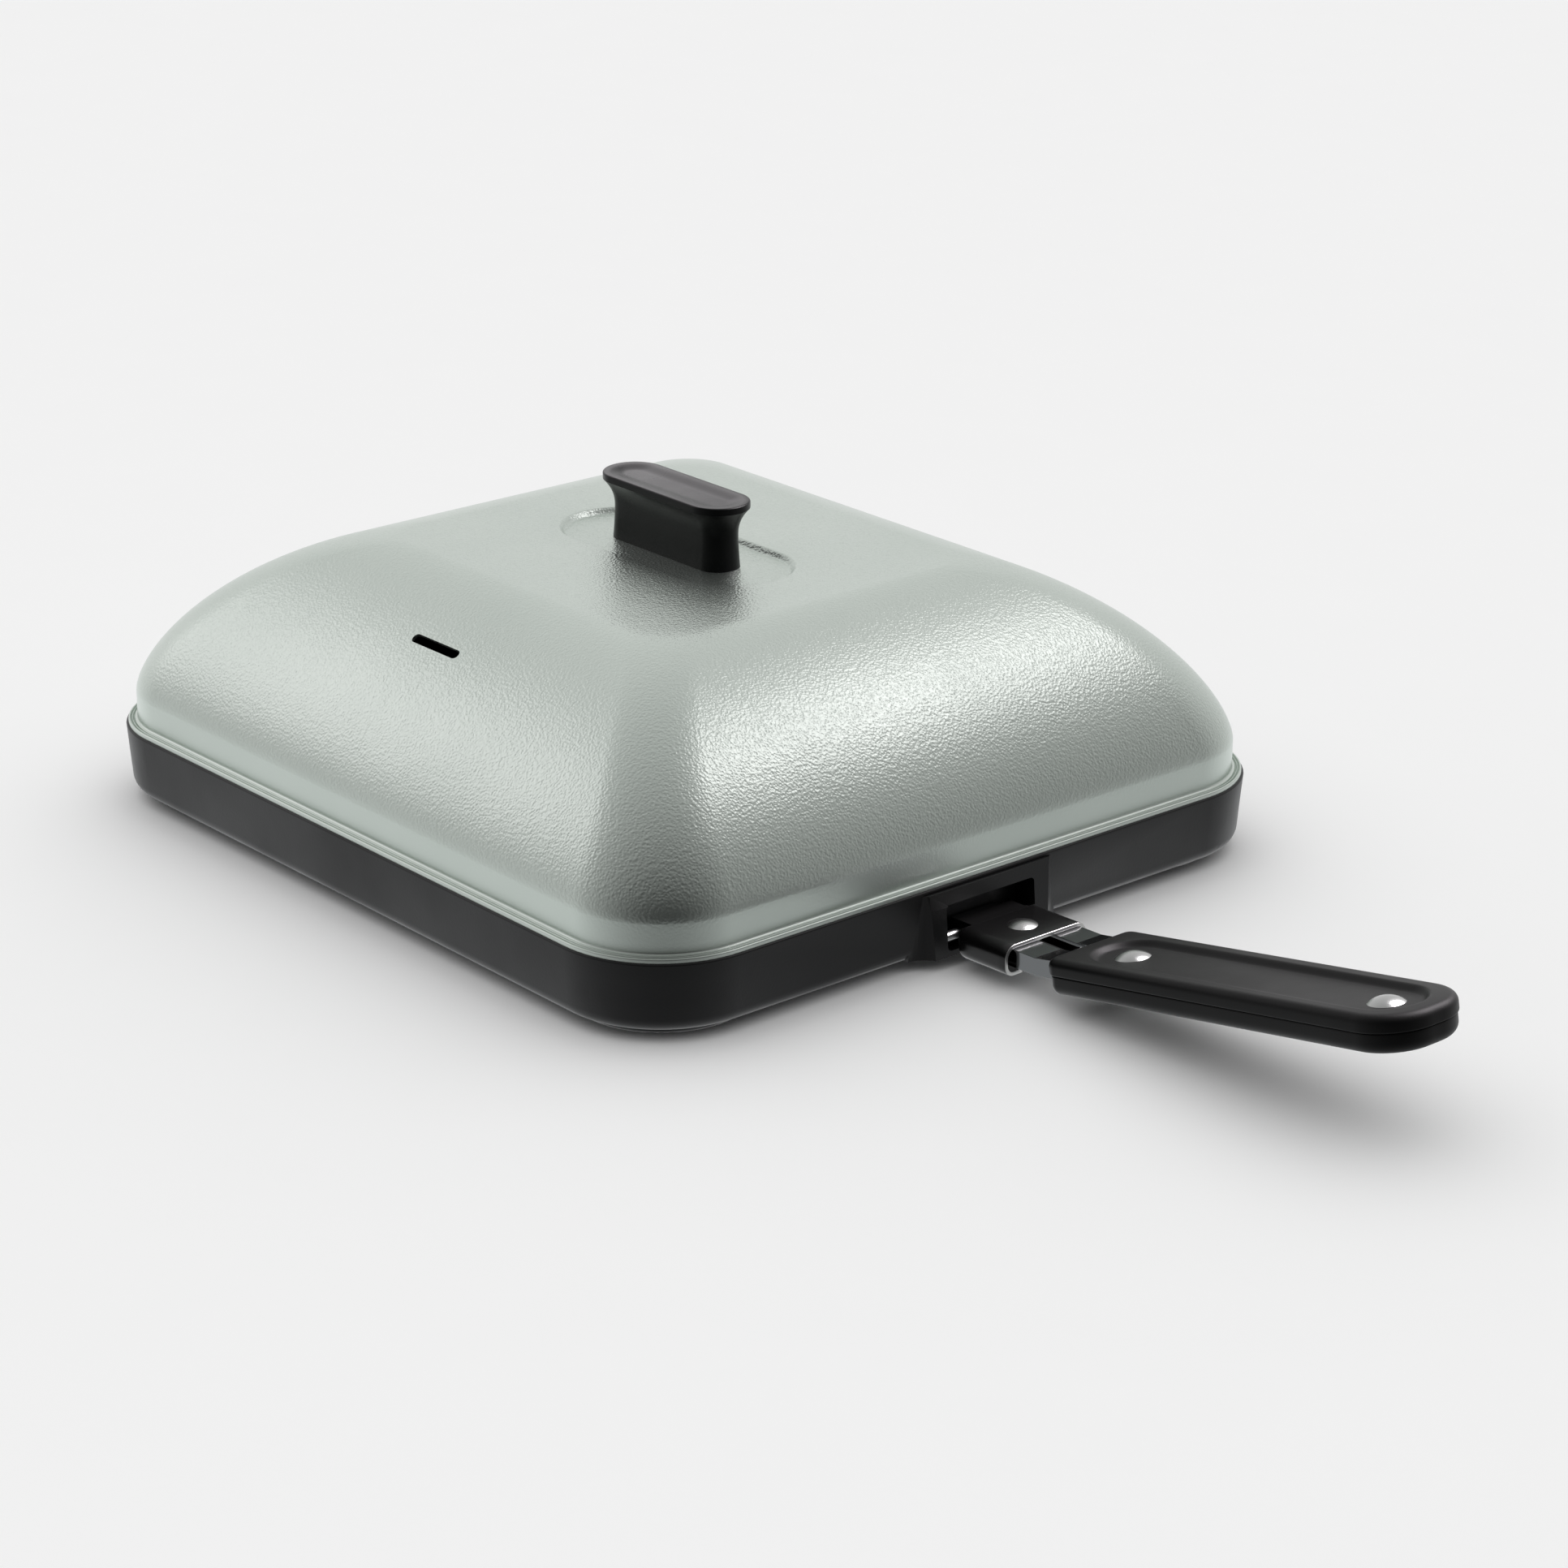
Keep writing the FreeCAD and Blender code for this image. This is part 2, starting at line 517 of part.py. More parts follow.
def make_lid():
    flange = prism(rounded_rect(
        HALF_X - FLANGE_SET_IN, HALF_Y - FLANGE_SET_IN, PAN_CORNER - FLANGE_SET_IN, PAN_HEIGHT), FLANGE_THICK)
    flange = flange.makeFillet(FLANGE_EDGE, level_edges(flange, PAN_HEIGHT + FLANGE_THICK))
    skirt_in = PAN_WALL + SKIRT_GAP
    low = PAN_HEIGHT - SKIRT_DEPTH
    skirt = prism(rounded_rect(
        HALF_X - skirt_in, HALF_Y - skirt_in, PAN_CORNER - skirt_in, low), SKIRT_DEPTH + BITE)
    inside = skirt_in + LID_SHEET
    bore = prism(rounded_rect(
        HALF_X - inside, HALF_Y - inside, PAN_CORNER - inside, low), SKIRT_DEPTH + FLANGE_THICK)
    shell = dome_solid(0.0).fuse([flange, skirt]).cut([dome_solid(LID_SHEET), bore])
    seat = recess(LID_SHEET, LID_SHEET, RECESS_DEPTH)
    shell = shell.fuse(seat).cut(recess(0.0, 0.0, RECESS_DEPTH + PAST)).cut(vent())
    for side in (-1, 1):
        hole = cylinder(BOLT_RADIUS + BOLT_GAP, side * KNOB_BOLT_OUT, 0, SEAT_UNDER - PAST, SEAT_TOP + PAST)
        shell = shell.cut(hole)
    return shell.removeSplitter()


# --- knob ---------------------------------------------------------------------------
def make_knob():
    """Upright moulded bar with a neck, a flared top and a dished crown."""
    flare = KNOB_FLARE
    levels = (
        (0.0, 0.0), (0.25, -0.6 * KNOB_NECK_IN), (0.5, -KNOB_NECK_IN), (0.68, 0.12 * flare),
        (0.82, 0.62 * flare), (0.90, 0.97 * flare), (0.965, flare), (1.0, 0.86 * flare))
    wires = [stadium(KNOB_BASE_HALF_X + g, KNOB_BASE_HALF_Y + g, SEAT_TOP + h * KNOB_HEIGHT) for h, g in levels]
    lower = Part.makeLoft(wires[:3], True, False)
    middle = Part.makeLoft(wires[2:6], True, False)
    upper = Part.makeLoft(wires[5:], True, False)
    knob = lower.fuse([middle, upper])
    top = SEAT_TOP + KNOB_HEIGHT
    dish_x = KNOB_TOP_HALF_X - KNOB_RIM
    dish_y = KNOB_TOP_HALF_Y - KNOB_RIM
    dish = Part.makeLoft([
        stadium(dish_x - KNOB_DISH_SLOPE, dish_y - KNOB_DISH_SLOPE, top - KNOB_DISH_DEPTH),
        stadium(dish_x, dish_y, top)], True, True)
    knob = knob.cut(dish)
    hole_end = SEAT_TOP + INSERT_LENGTH + HOLE_END_GAP
    for side in (-1, 1):
        knob = knob.cut(cylinder(INSERT_RADIUS + FIT_GAP, side * KNOB_BOLT_OUT, 0, SEAT_TOP - PAST, hole_end))
    return knob.removeSplitter()


def make_insert(side):
    x = side * KNOB_BOLT_OUT
    body = cylinder(INSERT_RADIUS, x, 0, SEAT_TOP, SEAT_TOP + INSERT_LENGTH)
    hole_end = SEAT_TOP + BOLT_REACH + HOLE_END_GAP
    return body.cut(cylinder(BOLT_RADIUS + FIT_GAP, x, 0, SEAT_TOP - PAST, hole_end))


def make_knob_washer(side):
    x = side * KNOB_BOLT_OUT
    body = cylinder(WASHER_RADIUS, x, 0, SEAT_UNDER - WASHER_THICK, SEAT_UNDER)
    return body.cut(cylinder(BOLT_RADIUS + BOLT_GAP, x, 0, SEAT_UNDER - WASHER_THICK - PAST, SEAT_UNDER + PAST))


def make_knob_screw(side):
    """Pan-head screw with a cross recess, driven from inside the lid."""
    under = SEAT_UNDER - WASHER_THICK
    head = dome_head(BOLT_HEAD_RADIUS, BOLT_HEAD_HEIGHT, 0)
    arm = BOLT_HEAD_RADIUS / 2
    floor = BOLT_HEAD_HEIGHT - CROSS_DEPTH
    for half_x, half_y in ((arm, CROSS_HALF), (CROSS_HALF, arm)):
        head = head.cut(block(-half_x, half_x, half_y, floor, BOLT_HEAD_HEIGHT + PAST))
    head.rotate(V(0, 0, 0), V(1, 0, 0), 180)
    shank = cylinder(BOLT_RADIUS, 0, 0, -BITE, SEAT_TOP + BOLT_REACH - under)
    screw = head.fuse(shank)
    screw.translate(V(side * KNOB_BOLT_OUT, 0, under))
    return screw


# --- handle sleeve ------------------------------------------------------------------
def channel(half_y, top, bottom, radius, x0, x1):
    """Solid bar along X whose section is a rounded rectangle."""
    bar = prism(rounded_rect(half_y, (top - bottom) / 2, radius), x1 - x0)
    bar.rotate(V(0, 0, 0), V(1, 1, 1), 120)
    bar.translate(V(x0, 0, (top + bottom) / 2))
    return bar


def make_sleeve():
    """Bent sheet round the tang, open below, with a narrow eared end on the pin."""
    t = SLEEVE_SHEET
    rear, front = SLEEVE_START - PAST, SLEEVE_END + PAST
    outer = channel(SLEEVE_HALF, SLEEVE_TOP, SLEEVE_BOTTOM, SLEEVE_ROUND, SLEEVE_START, SLEEVE_END)
    inner = channel(SLEEVE_HALF - t, SLEEVE_TOP - t, SLEEVE_BOTTOM + t, SLEEVE_ROUND - t, rear, front)
    gap = block(rear, front, SLEEVE_HALF - SLEEVE_LIP, SLEEVE_BOTTOM - PAST, SLEEVE_BOTTOM + t + PAST)
    body = outer.cut([inner, gap])
    r = SLEEVE_REAR_ROUND
    corner = block(rear, SLEEVE_START + r, SLEEVE_HALF + PAST, SLEEVE_BOTTOM - PAST, SLEEVE_BOTTOM + r)
    rounding = cross_rod(r, SLEEVE_HALF + 2 * PAST, SLEEVE_START + r, SLEEVE_BOTTOM + r)
    body = body.cut(corner.cut(rounding))
    plate = block(EAR_REAR, EAR_FRONT, EAR_HALF, SLEEVE_TOP - t, SLEEVE_TOP)
    ears = ear_plates()
    hole = cross_rod(PIN_RADIUS + PIN_GAP, EAR_HALF + PAST, 0, 0)
    rivet_hole = cylinder(GUIDE_RADIUS + FIT_GAP, GUIDE_OUT, 0, SLEEVE_TOP - t - PAST, SLEEVE_TOP + PAST)
    return in_handle(body.fuse([plate] + ears).cut([hole, rivet_hole]).removeSplitter())


def ear_plates():
    """The two ears that hang from the narrow top plate round the pin."""
    reach = EAR_FRONT
    top = SLEEVE_TOP - SLEEVE_SHEET / 4
    outline = [(EAR_REAR, top), (-EAR_RADIUS, SLEEVE_SHEET / 2), (-EAR_RADIUS, 0), (0, -EAR_RADIUS),
               (reach, -EAR_RADIUS), (reach, top)]
    slab = side_plate(outline, EAR_HALF).fuse(cross_rod(EAR_RADIUS, EAR_HALF, 0, 0))
    below = -EAR_RADIUS - PAST
    middle = block(below, reach + PAST, EAR_HALF - SLEEVE_SHEET, below, SLEEVE_TOP - SLEEVE_SHEET)
    return slab.cut(middle).Solids


# --- tang ---------------------------------------------------------------------------
def bent_outline(start, thick):
    """Side outline of a strip that runs straight, then bends up into the grip."""
    pitch = math.radians(GRIP_PITCH)
    length = GRIP_START_X + TANG_IN_GRIP - TANG_BEND
    end = (TANG_BEND + length, TANG_TOP + length * math.tan(pitch))
    upper = [(start, TANG_TOP), (TANG_BEND, TANG_TOP), end]
    return upper + [(x, z - thick) for x, z in reversed(upper)]


def tang_top_in_grip():
    """Level of the channel's top above the grip's joint line."""
    pitch = math.radians(GRIP_PITCH)
    rise = (GRIP_START_X - TANG_BEND) * math.tan(pitch)
    return (TANG_TOP + rise - GRIP_START_Z) * math.cos(pitch)


def make_tang():
    """Bright channel with a long slot for the guide rivet, and a flat strap inside the grip."""
    plate = side_plate(bent_outline(TANG_SHOULDER, TANG_SHEET), TANG_HALF)
    tip = block(TANG_TIP, TANG_SHOULDER + BITE, TANG_TIP_HALF, TANG_UNDER, TANG_TOP)
    deep = side_plate(bent_outline(TANG_SHOULDER + TANG_SHOULDER_GAP, TANG_DEPTH), TANG_HALF)
    hollow = side_plate(bent_outline(TANG_SHOULDER, TANG_DEPTH + PAST), TANG_HALF - TANG_SHEET)
    flanges = deep.cut(hollow)
    slot_start = GUIDE_OUT - GUIDE_RADIUS - LOCK_TRAVEL - SLOT_GAP
    rise = (SLOT_END - TANG_BEND) * math.tan(math.radians(GRIP_PITCH))
    slot = prism(stadium((SLOT_END - slot_start) / 2, SLOT_HALF), TANG_SHEET + rise + 2 * PAST)
    slot.translate(V((SLOT_END + slot_start) / 2, 0, TANG_UNDER - PAST))
    channel_part = plate.fuse([tip, flanges]).cut(slot)
    top = tang_top_in_grip()
    edge = TANG_SHEET / 3
    web = block(WEB_IN, WEB_IN + WEB_THICK, TANG_HALF - edge, top - TANG_DEPTH + edge, top - edge)
    strap = block(WEB_IN, TANG_STRAP_LENGTH, TANG_STRAP_HALF, -TANG_SHEET / 2, TANG_SHEET / 2)
    inner = web.fuse(strap)
    for u in RIVET_PLACES:
        inner = inner.cut(cylinder(RIVET_RADIUS + BOLT_GAP, u, 0, -TANG_SHEET, TANG_SHEET))
    return in_handle(channel_part.fuse(in_grip(inner)).removeSplitter())


def make_guide_rivet():
    """Domed head on the sleeve, shank through the tang's slot, tail spread on a washer."""
    under = TANG_UNDER - GUIDE_WASHER_GAP - GUIDE_WASHER_THICK
    head = dome_head(GUIDE_RADIUS + GUIDE_HEAD_RIM, GUIDE_HEAD_HEIGHT, SLEEVE_TOP)
    shank = cylinder(GUIDE_RADIUS, 0, 0, under, SLEEVE_TOP)
    tail = cylinder(GUIDE_RADIUS + GUIDE_TAIL_RIM, 0, 0, under - GUIDE_TAIL_HEIGHT, under)
    rivet = head.fuse([shank, tail])
    rivet.translate(V(GUIDE_OUT, 0, 0))
    return in_handle(rivet.removeSplitter())


def make_guide_washer():
    top = TANG_UNDER - GUIDE_WASHER_GAP
    washer = cylinder(GUIDE_RADIUS + GUIDE_WASHER_RIM, 0, 0, top - GUIDE_WASHER_THICK, top)
    washer = washer.cut(cylinder(GUIDE_RADIUS + FIT_GAP, 0, 0, top - GUIDE_WASHER_THICK - PAST, top + PAST))
    washer.translate(V(GUIDE_OUT, 0, 0))
    return in_handle(washer)


# --- grip ---------------------------------------------------------------------------
def grip_bar(n0, n1, shrink):
    wire = rounded_rect(
        GRIP_LENGTH / 2 - shrink, GRIP_HALF - shrink, GRIP_HEEL_ROUND - shrink, n0, GRIP_TIP_ROUND - shrink)
    wire.translate(V(GRIP_LENGTH / 2, 0, 0))
    return prism(wire, n1 - n0)


def grip_pocket():
    """Room inside the grip for the tang's channel end, web and strap."""
    g = GRIP_POCKET_GAP
    top = tang_top_in_grip()
    mouth = block(-PAST, TANG_IN_GRIP + MOUTH_BEYOND, TANG_HALF + g, top - TANG_DEPTH - 3 * g, top + 3 * g)
    strap = block(0, TANG_STRAP_LENGTH + g, TANG_STRAP_HALF + g, -TANG_SHEET / 2 - g, TANG_SHEET / 2 + g)
    return mouth.fuse(strap)


def make_grip_upper():
    """Upper moulding with the long dished recess that holds both rivet heads."""
    bar = grip_bar(0, GRIP_UPPER, 0)
    bar = bar.makeFillet(GRIP_TOP_EDGE, level_edges(bar, GRIP_UPPER))
    bar = bar.makeFillet(SEAM_EDGE, level_edges(bar, 0))
    middle = RIVET_NEAR + RIVET_PITCH / 2
    half = RIVET_PITCH / 2 + DISH_HALF
    low = GRIP_UPPER - DISH_DEPTH
    dish = Part.makeLoft([
        stadium(half - DISH_SLOPE, DISH_HALF - DISH_SLOPE, low),
        stadium(half, DISH_HALF, GRIP_UPPER)], True, True)
    dish.translate(V(middle, 0, 0))
    bar = bar.cut([dish, grip_pocket()])
    for u in RIVET_PLACES:
        bar = bar.cut(cylinder(RIVET_RADIUS + BOLT_GAP, u, 0, -PAST, GRIP_UPPER + PAST))
    return in_handle(in_grip(bar.removeSplitter()))


def make_grip_lower():
    """Lower moulding, set in a little at the joint line, with sunk seats for the rivet washers."""
    bar = grip_bar(-GRIP_LOWER, 0, GRIP_SEAM_STEP)
    bar = bar.makeFillet(GRIP_BOTTOM_EDGE - GRIP_SEAM_STEP, level_edges(bar, -GRIP_LOWER))
    bar = bar.makeFillet(SEAM_EDGE, level_edges(bar, 0))
    bar = bar.cut(grip_pocket())
    for u in RIVET_PLACES:
        seat_top = -GRIP_LOWER + RIVET_WASHER_THICK + RIVET_TAIL_HEIGHT
        seat_radius = RIVET_RADIUS + RIVET_WASHER_RIM + RIVET_SEAT_GAP
        bar = bar.cut(cylinder(seat_radius, u, 0, -GRIP_LOWER - PAST, seat_top))
        bar = bar.cut(cylinder(RIVET_RADIUS + BOLT_GAP, u, 0, -GRIP_LOWER - PAST, PAST))
    return in_handle(in_grip(bar.removeSplitter()))


def make_grip_rivet(u):
    seat = GRIP_UPPER - DISH_DEPTH
    tail = -GRIP_LOWER + RIVET_TAIL_HEIGHT
    head = dome_head(RIVET_RADIUS + RIVET_HEAD_RIM, RIVET_HEAD_HEIGHT, seat)
    shank = cylinder(RIVET_RADIUS, 0, 0, tail, seat)
    foot_disc = cylinder(RIVET_RADIUS + RIVET_TAIL_RIM, 0, 0, tail - RIVET_TAIL_HEIGHT, tail)
    foot_disc = foot_disc.makeFillet(RIVET_TAIL_HEIGHT / 2, level_edges(foot_disc, tail - RIVET_TAIL_HEIGHT))
    rivet = head.fuse([shank, foot_disc]).removeSplitter()
    rivet.translate(V(u, 0, 0))
    return in_handle(in_grip(rivet))


def make_grip_washer(u):
    low = -GRIP_LOWER + RIVET_TAIL_HEIGHT
    washer = cylinder(RIVET_RADIUS + RIVET_WASHER_RIM, u, 0, low, low + RIVET_WASHER_THICK)
    washer = washer.cut(cylinder(RIVET_RADIUS + FIT_GAP, u, 0, low - PAST, low + RIVET_WASHER_THICK + PAST))
    return in_handle(in_grip(washer))


# --- all the pieces -----------------------------------------------------------------
def build():
    parts = {
        "pan_body": make_pan(),
        "hinge_pin": make_pin(),
        "mould_frame": make_mould_frame(),
        "lid_shell": make_lid(),
        "lid_knob": make_knob(),
        "handle_sleeve": make_sleeve(),
        "guide_rivet": make_guide_rivet(),
        "guide_washer": make_guide_washer(),
        "handle_tang": make_tang(),
        "grip_upper": make_grip_upper(),
        "grip_lower": make_grip_lower(),
    }
    for row in range(RINGS_Y):
        for column in range(RINGS_X):
            parts[f"ring_cup_{row * RINGS_X + column + 1}"] = make_cup(column, row)
    for name, side in (("left", -1), ("right", 1)):
        parts[f"knob_insert_{name}"] = make_insert(side)
        parts[f"knob_washer_{name}"] = make_knob_washer(side)
        parts[f"knob_screw_{name}"] = make_knob_screw(side)
    for name, u in zip(("near", "far"), RIVET_PLACES):
        parts[f"grip_rivet_{name}"] = make_grip_rivet(u)
        parts[f"grip_washer_{name}"] = make_grip_washer(u)
    return parts


os.makedirs("parts", exist_ok=True)
for node, shape in build().items():
    print(node, len(shape.Solids), "solid", shape.isValid(), round(shape.Volume, 1))
    shape.exportStep(f"parts/{node}.step")
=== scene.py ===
"""A covered cooking pan for ring doughnuts: powder-coated lid, cast pan, nine-ring mould, tipping handle."""
import json
import logging
import math
from dataclasses import dataclass
from enum import Enum

import bmesh
import bpy
import numpy as np
from mathutils import Matrix, Vector

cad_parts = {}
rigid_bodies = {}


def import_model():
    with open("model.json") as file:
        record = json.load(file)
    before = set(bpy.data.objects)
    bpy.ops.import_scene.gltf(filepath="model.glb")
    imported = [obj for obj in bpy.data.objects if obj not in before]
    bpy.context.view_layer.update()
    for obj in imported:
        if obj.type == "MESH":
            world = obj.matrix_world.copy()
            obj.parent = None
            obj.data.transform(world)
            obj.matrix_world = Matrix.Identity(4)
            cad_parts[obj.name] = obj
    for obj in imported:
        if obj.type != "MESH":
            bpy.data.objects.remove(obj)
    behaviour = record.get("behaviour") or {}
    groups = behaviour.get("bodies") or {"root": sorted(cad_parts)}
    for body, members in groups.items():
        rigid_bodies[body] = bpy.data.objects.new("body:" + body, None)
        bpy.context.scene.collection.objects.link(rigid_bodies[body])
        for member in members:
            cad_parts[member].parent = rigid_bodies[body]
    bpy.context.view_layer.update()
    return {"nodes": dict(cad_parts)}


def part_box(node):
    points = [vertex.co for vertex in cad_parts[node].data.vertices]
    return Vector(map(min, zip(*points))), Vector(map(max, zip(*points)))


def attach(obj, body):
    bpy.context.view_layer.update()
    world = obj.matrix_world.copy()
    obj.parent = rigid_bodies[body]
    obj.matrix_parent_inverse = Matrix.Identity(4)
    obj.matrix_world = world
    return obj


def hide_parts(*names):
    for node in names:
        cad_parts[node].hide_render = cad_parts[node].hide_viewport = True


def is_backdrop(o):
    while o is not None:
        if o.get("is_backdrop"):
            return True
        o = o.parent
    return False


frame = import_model()

LOG = logging.getLogger("ring_pan")
MM = 0.001
ARC_STEPS = 20          # steps round each plan corner of a rounded rectangle
SIDE_STEPS = 12         # steps along each of its straight sides
MERGE = 2e-6            # metres; points of a new mesh that are nearer than this become one
CAD_MERGE = 1e-6        # the same for a copy of a CAD mesh
TINY = 1e-9             # metres; a ring narrower than this is a line or a point
CLOUD_RANGE = (0.25, 0.75)          # where nearly all of a noise's values lie
METAL = 0.5             # a finish more metallic than this keeps the default IOR
FLAT_DEGREES = 0.4      # CAD faces that meet at less than this are one flat face
EASE_STEPS = 2          # steps across an eased edge
QUARTER = math.pi / 2
LAMP_COLOUR = (1.0, 0.94, 0.98)     # keeps highlights on the green-grey coat neutral


class Slot(Enum):
    """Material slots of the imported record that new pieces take."""

    PAN = "pan_casting"
    LID = "lid_coating"
    MOULD = "mould_coating"
    KNOB = "black_moulding"
    GRIP = "grip_moulding"
    SLEEVE = "black_coated_steel"
    BRIGHT = "bright_steel"


class Cut(Enum):
    """What a boolean keeps of the mesh that is cut."""

    OUTSIDE = "DIFFERENCE"
    INSIDE = "INTERSECT"


# --- colour and nodes -----------------------------------------------------------------
def linear(code: str) -> tuple[float, float, float, float]:
    """Turns an sRGB hex colour into linear light.

    Args:
        code: six hex digits after a hash sign.

    Returns:
        Linear red, green, blue and an alpha of one.
    """
    parts = np.array([int(code[i:i + 2], 16) for i in (1, 3, 5)]) / 255
    light = np.where(parts <= 0.04045, parts / 12.92, ((parts + 0.055) / 1.055) ** 2.4)
    return (*light.tolist(), 1.0)


def add_node(tree: bpy.types.NodeTree, kind: str, inputs: dict | None = None,
             **settings: object) -> bpy.types.Node:
    """Adds a node, sets its properties, and fills or links its inputs.

    Args:
        tree: node tree that takes the node.
        kind: Blender's name of the node type.
        inputs: socket name or number, to a plain value or to the output socket that feeds it.
        **settings: properties of the node itself.

    Returns:
        The new node.
    """
    node = tree.nodes.new(kind)
    for name, value in settings.items():
        setattr(node, name, value)
    for key, value in (inputs or {}).items():
        if isinstance(value, bpy.types.NodeSocket):
            tree.links.new(value, node.inputs[key])
        else:
            node.inputs[key].default_value = value
    return node


# --- finishes -------------------------------------------------------------------------
@dataclass(frozen=True)
class Finish:
    """One material: a base tone, a second tone and a spread of gloss in slow clouds, and a fine grain in
    bump.
    """

    name: str
    colour: str
    second: str
    metallic: float = 0.0
    roughness: float = 0.5
    roughness_spread: float = 0.08
    ior: float = 1.5
    cloud_mm: float = 40.0      # size of the slow clouds of colour and gloss
    grain_mm: float = 0.8       # spacing of the fine grain
    grain_depth_mm: float = 0.02
    grain_detail: float = 2.0       # how many finer layers the grain has
    grain_harshness: float = 0.55   # weight of each finer layer
    cloud_detail: float = 3.0
    stretch: tuple[float, float, float] = (1.0, 1.0, 1.0)

    def grain(self, tree: bpy.types.NodeTree, place: bpy.types.NodeSocket) -> bpy.types.NodeSocket:
        """Height of the fine grain, from 0 to 1.

        Args:
            tree: node tree of the material.
            place: object coordinates in metres.

        Returns:
            The socket that carries the height.
        """
        turned = add_node(tree, "ShaderNodeMapping", {"Vector": place, "Scale": self.stretch})
        noise = add_node(tree, "ShaderNodeTexNoise", {
            "Vector": turned.outputs["Vector"], "Scale": 1 / (self.grain_mm * MM),
            "Detail": self.grain_detail, "Roughness": self.grain_harshness})
        return noise.outputs["Fac"]

    def build(self) -> bpy.types.Material:
        """Makes the material.

        Returns:
            A node material with Principled shading.
        """
        material = bpy.data.materials.new(self.name)
        material.use_nodes = True
        tree = material.node_tree
        tree.nodes.clear()
        place = add_node(tree, "ShaderNodeTexCoord").outputs["Object"]
        cloud = add_node(tree, "ShaderNodeTexNoise", {
            "Vector": place, "Scale": 1 / (self.cloud_mm * MM), "Detail": self.cloud_detail}).outputs["Fac"]
        grain = self.grain(tree, place)
        tone = add_node(tree, "ShaderNodeMix", {
            "Factor": cloud, "A": linear(self.colour), "B": linear(self.second)}, data_type="RGBA")
        gloss = add_node(tree, "ShaderNodeMapRange", {
            "Value": cloud, "From Min": CLOUD_RANGE[0], "From Max": CLOUD_RANGE[1],
            "To Min": self.roughness - self.roughness_spread,
            "To Max": self.roughness + self.roughness_spread})
        bump = add_node(tree, "ShaderNodeBump", {
            "Height": grain, "Distance": self.grain_depth_mm * MM, "Strength": 1.0})
        shader = add_node(tree, "ShaderNodeBsdfPrincipled", {
            "Base Color": tone.outputs["Result"], "Metallic": self.metallic,
            "Roughness": gloss.outputs["Result"], "Normal": bump.outputs["Normal"]})
        if self.metallic < METAL:
            shader.inputs["IOR"].default_value = self.ior
        add_node(tree, "ShaderNodeOutputMaterial", {"Surface": shader.outputs["BSDF"]})
        return material


@dataclass(frozen=True)
class PebbledCoat(Finish):
    """Powder coat that sets in round pebbles, and lies smoother along the lid's upright foot."""

    smooth_below: float = 0.0       # levels, in metres
    pebbled_above: float = 0.0
    foot_share: float = 0.15        # how much of the pebble is left along the foot
    cell_blend: float = 0.7         # how softly the pebbles run together
    warp_scale: float = 0.6         # the warp's noise, against the pebble's spacing

    def grain(self, tree: bpy.types.NodeTree, place: bpy.types.NodeSocket) -> bpy.types.NodeSocket:
        """Pebbles: rounded cells of uneven size, warped by noise, that fade out towards the foot.

        Args:
            tree: node tree of the material.
            place: object coordinates in metres.

        Returns:
            The socket that carries the height.
        """
        spacing = self.grain_mm * MM
        warp = add_node(tree, "ShaderNodeTexNoise", {"Vector": place, "Scale": self.warp_scale / spacing})
        shift = add_node(tree, "ShaderNodeVectorMath", {
            0: warp.outputs["Color"], 1: (spacing,) * 3}, operation="MULTIPLY")
        bent = add_node(tree, "ShaderNodeVectorMath", {
            0: place, 1: shift.outputs["Vector"]}, operation="ADD")
        cells = add_node(tree, "ShaderNodeTexVoronoi", {
            "Vector": bent.outputs["Vector"], "Scale": 1 / spacing, "Smoothness": self.cell_blend},
            feature="SMOOTH_F1")
        level = add_node(tree, "ShaderNodeSeparateXYZ", {"Vector": place}).outputs["Z"]
        fade = add_node(tree, "ShaderNodeMapRange", {
            "Value": level, "From Min": self.smooth_below, "From Max": self.pebbled_above,
            "To Min": self.foot_share, "To Max": 1.0}, interpolation_type="SMOOTHSTEP")
        height = add_node(tree, "ShaderNodeMath", {
            0: cells.outputs["Distance"], 1: fade.outputs["Result"]}, operation="MULTIPLY")
        return height.outputs["Value"]


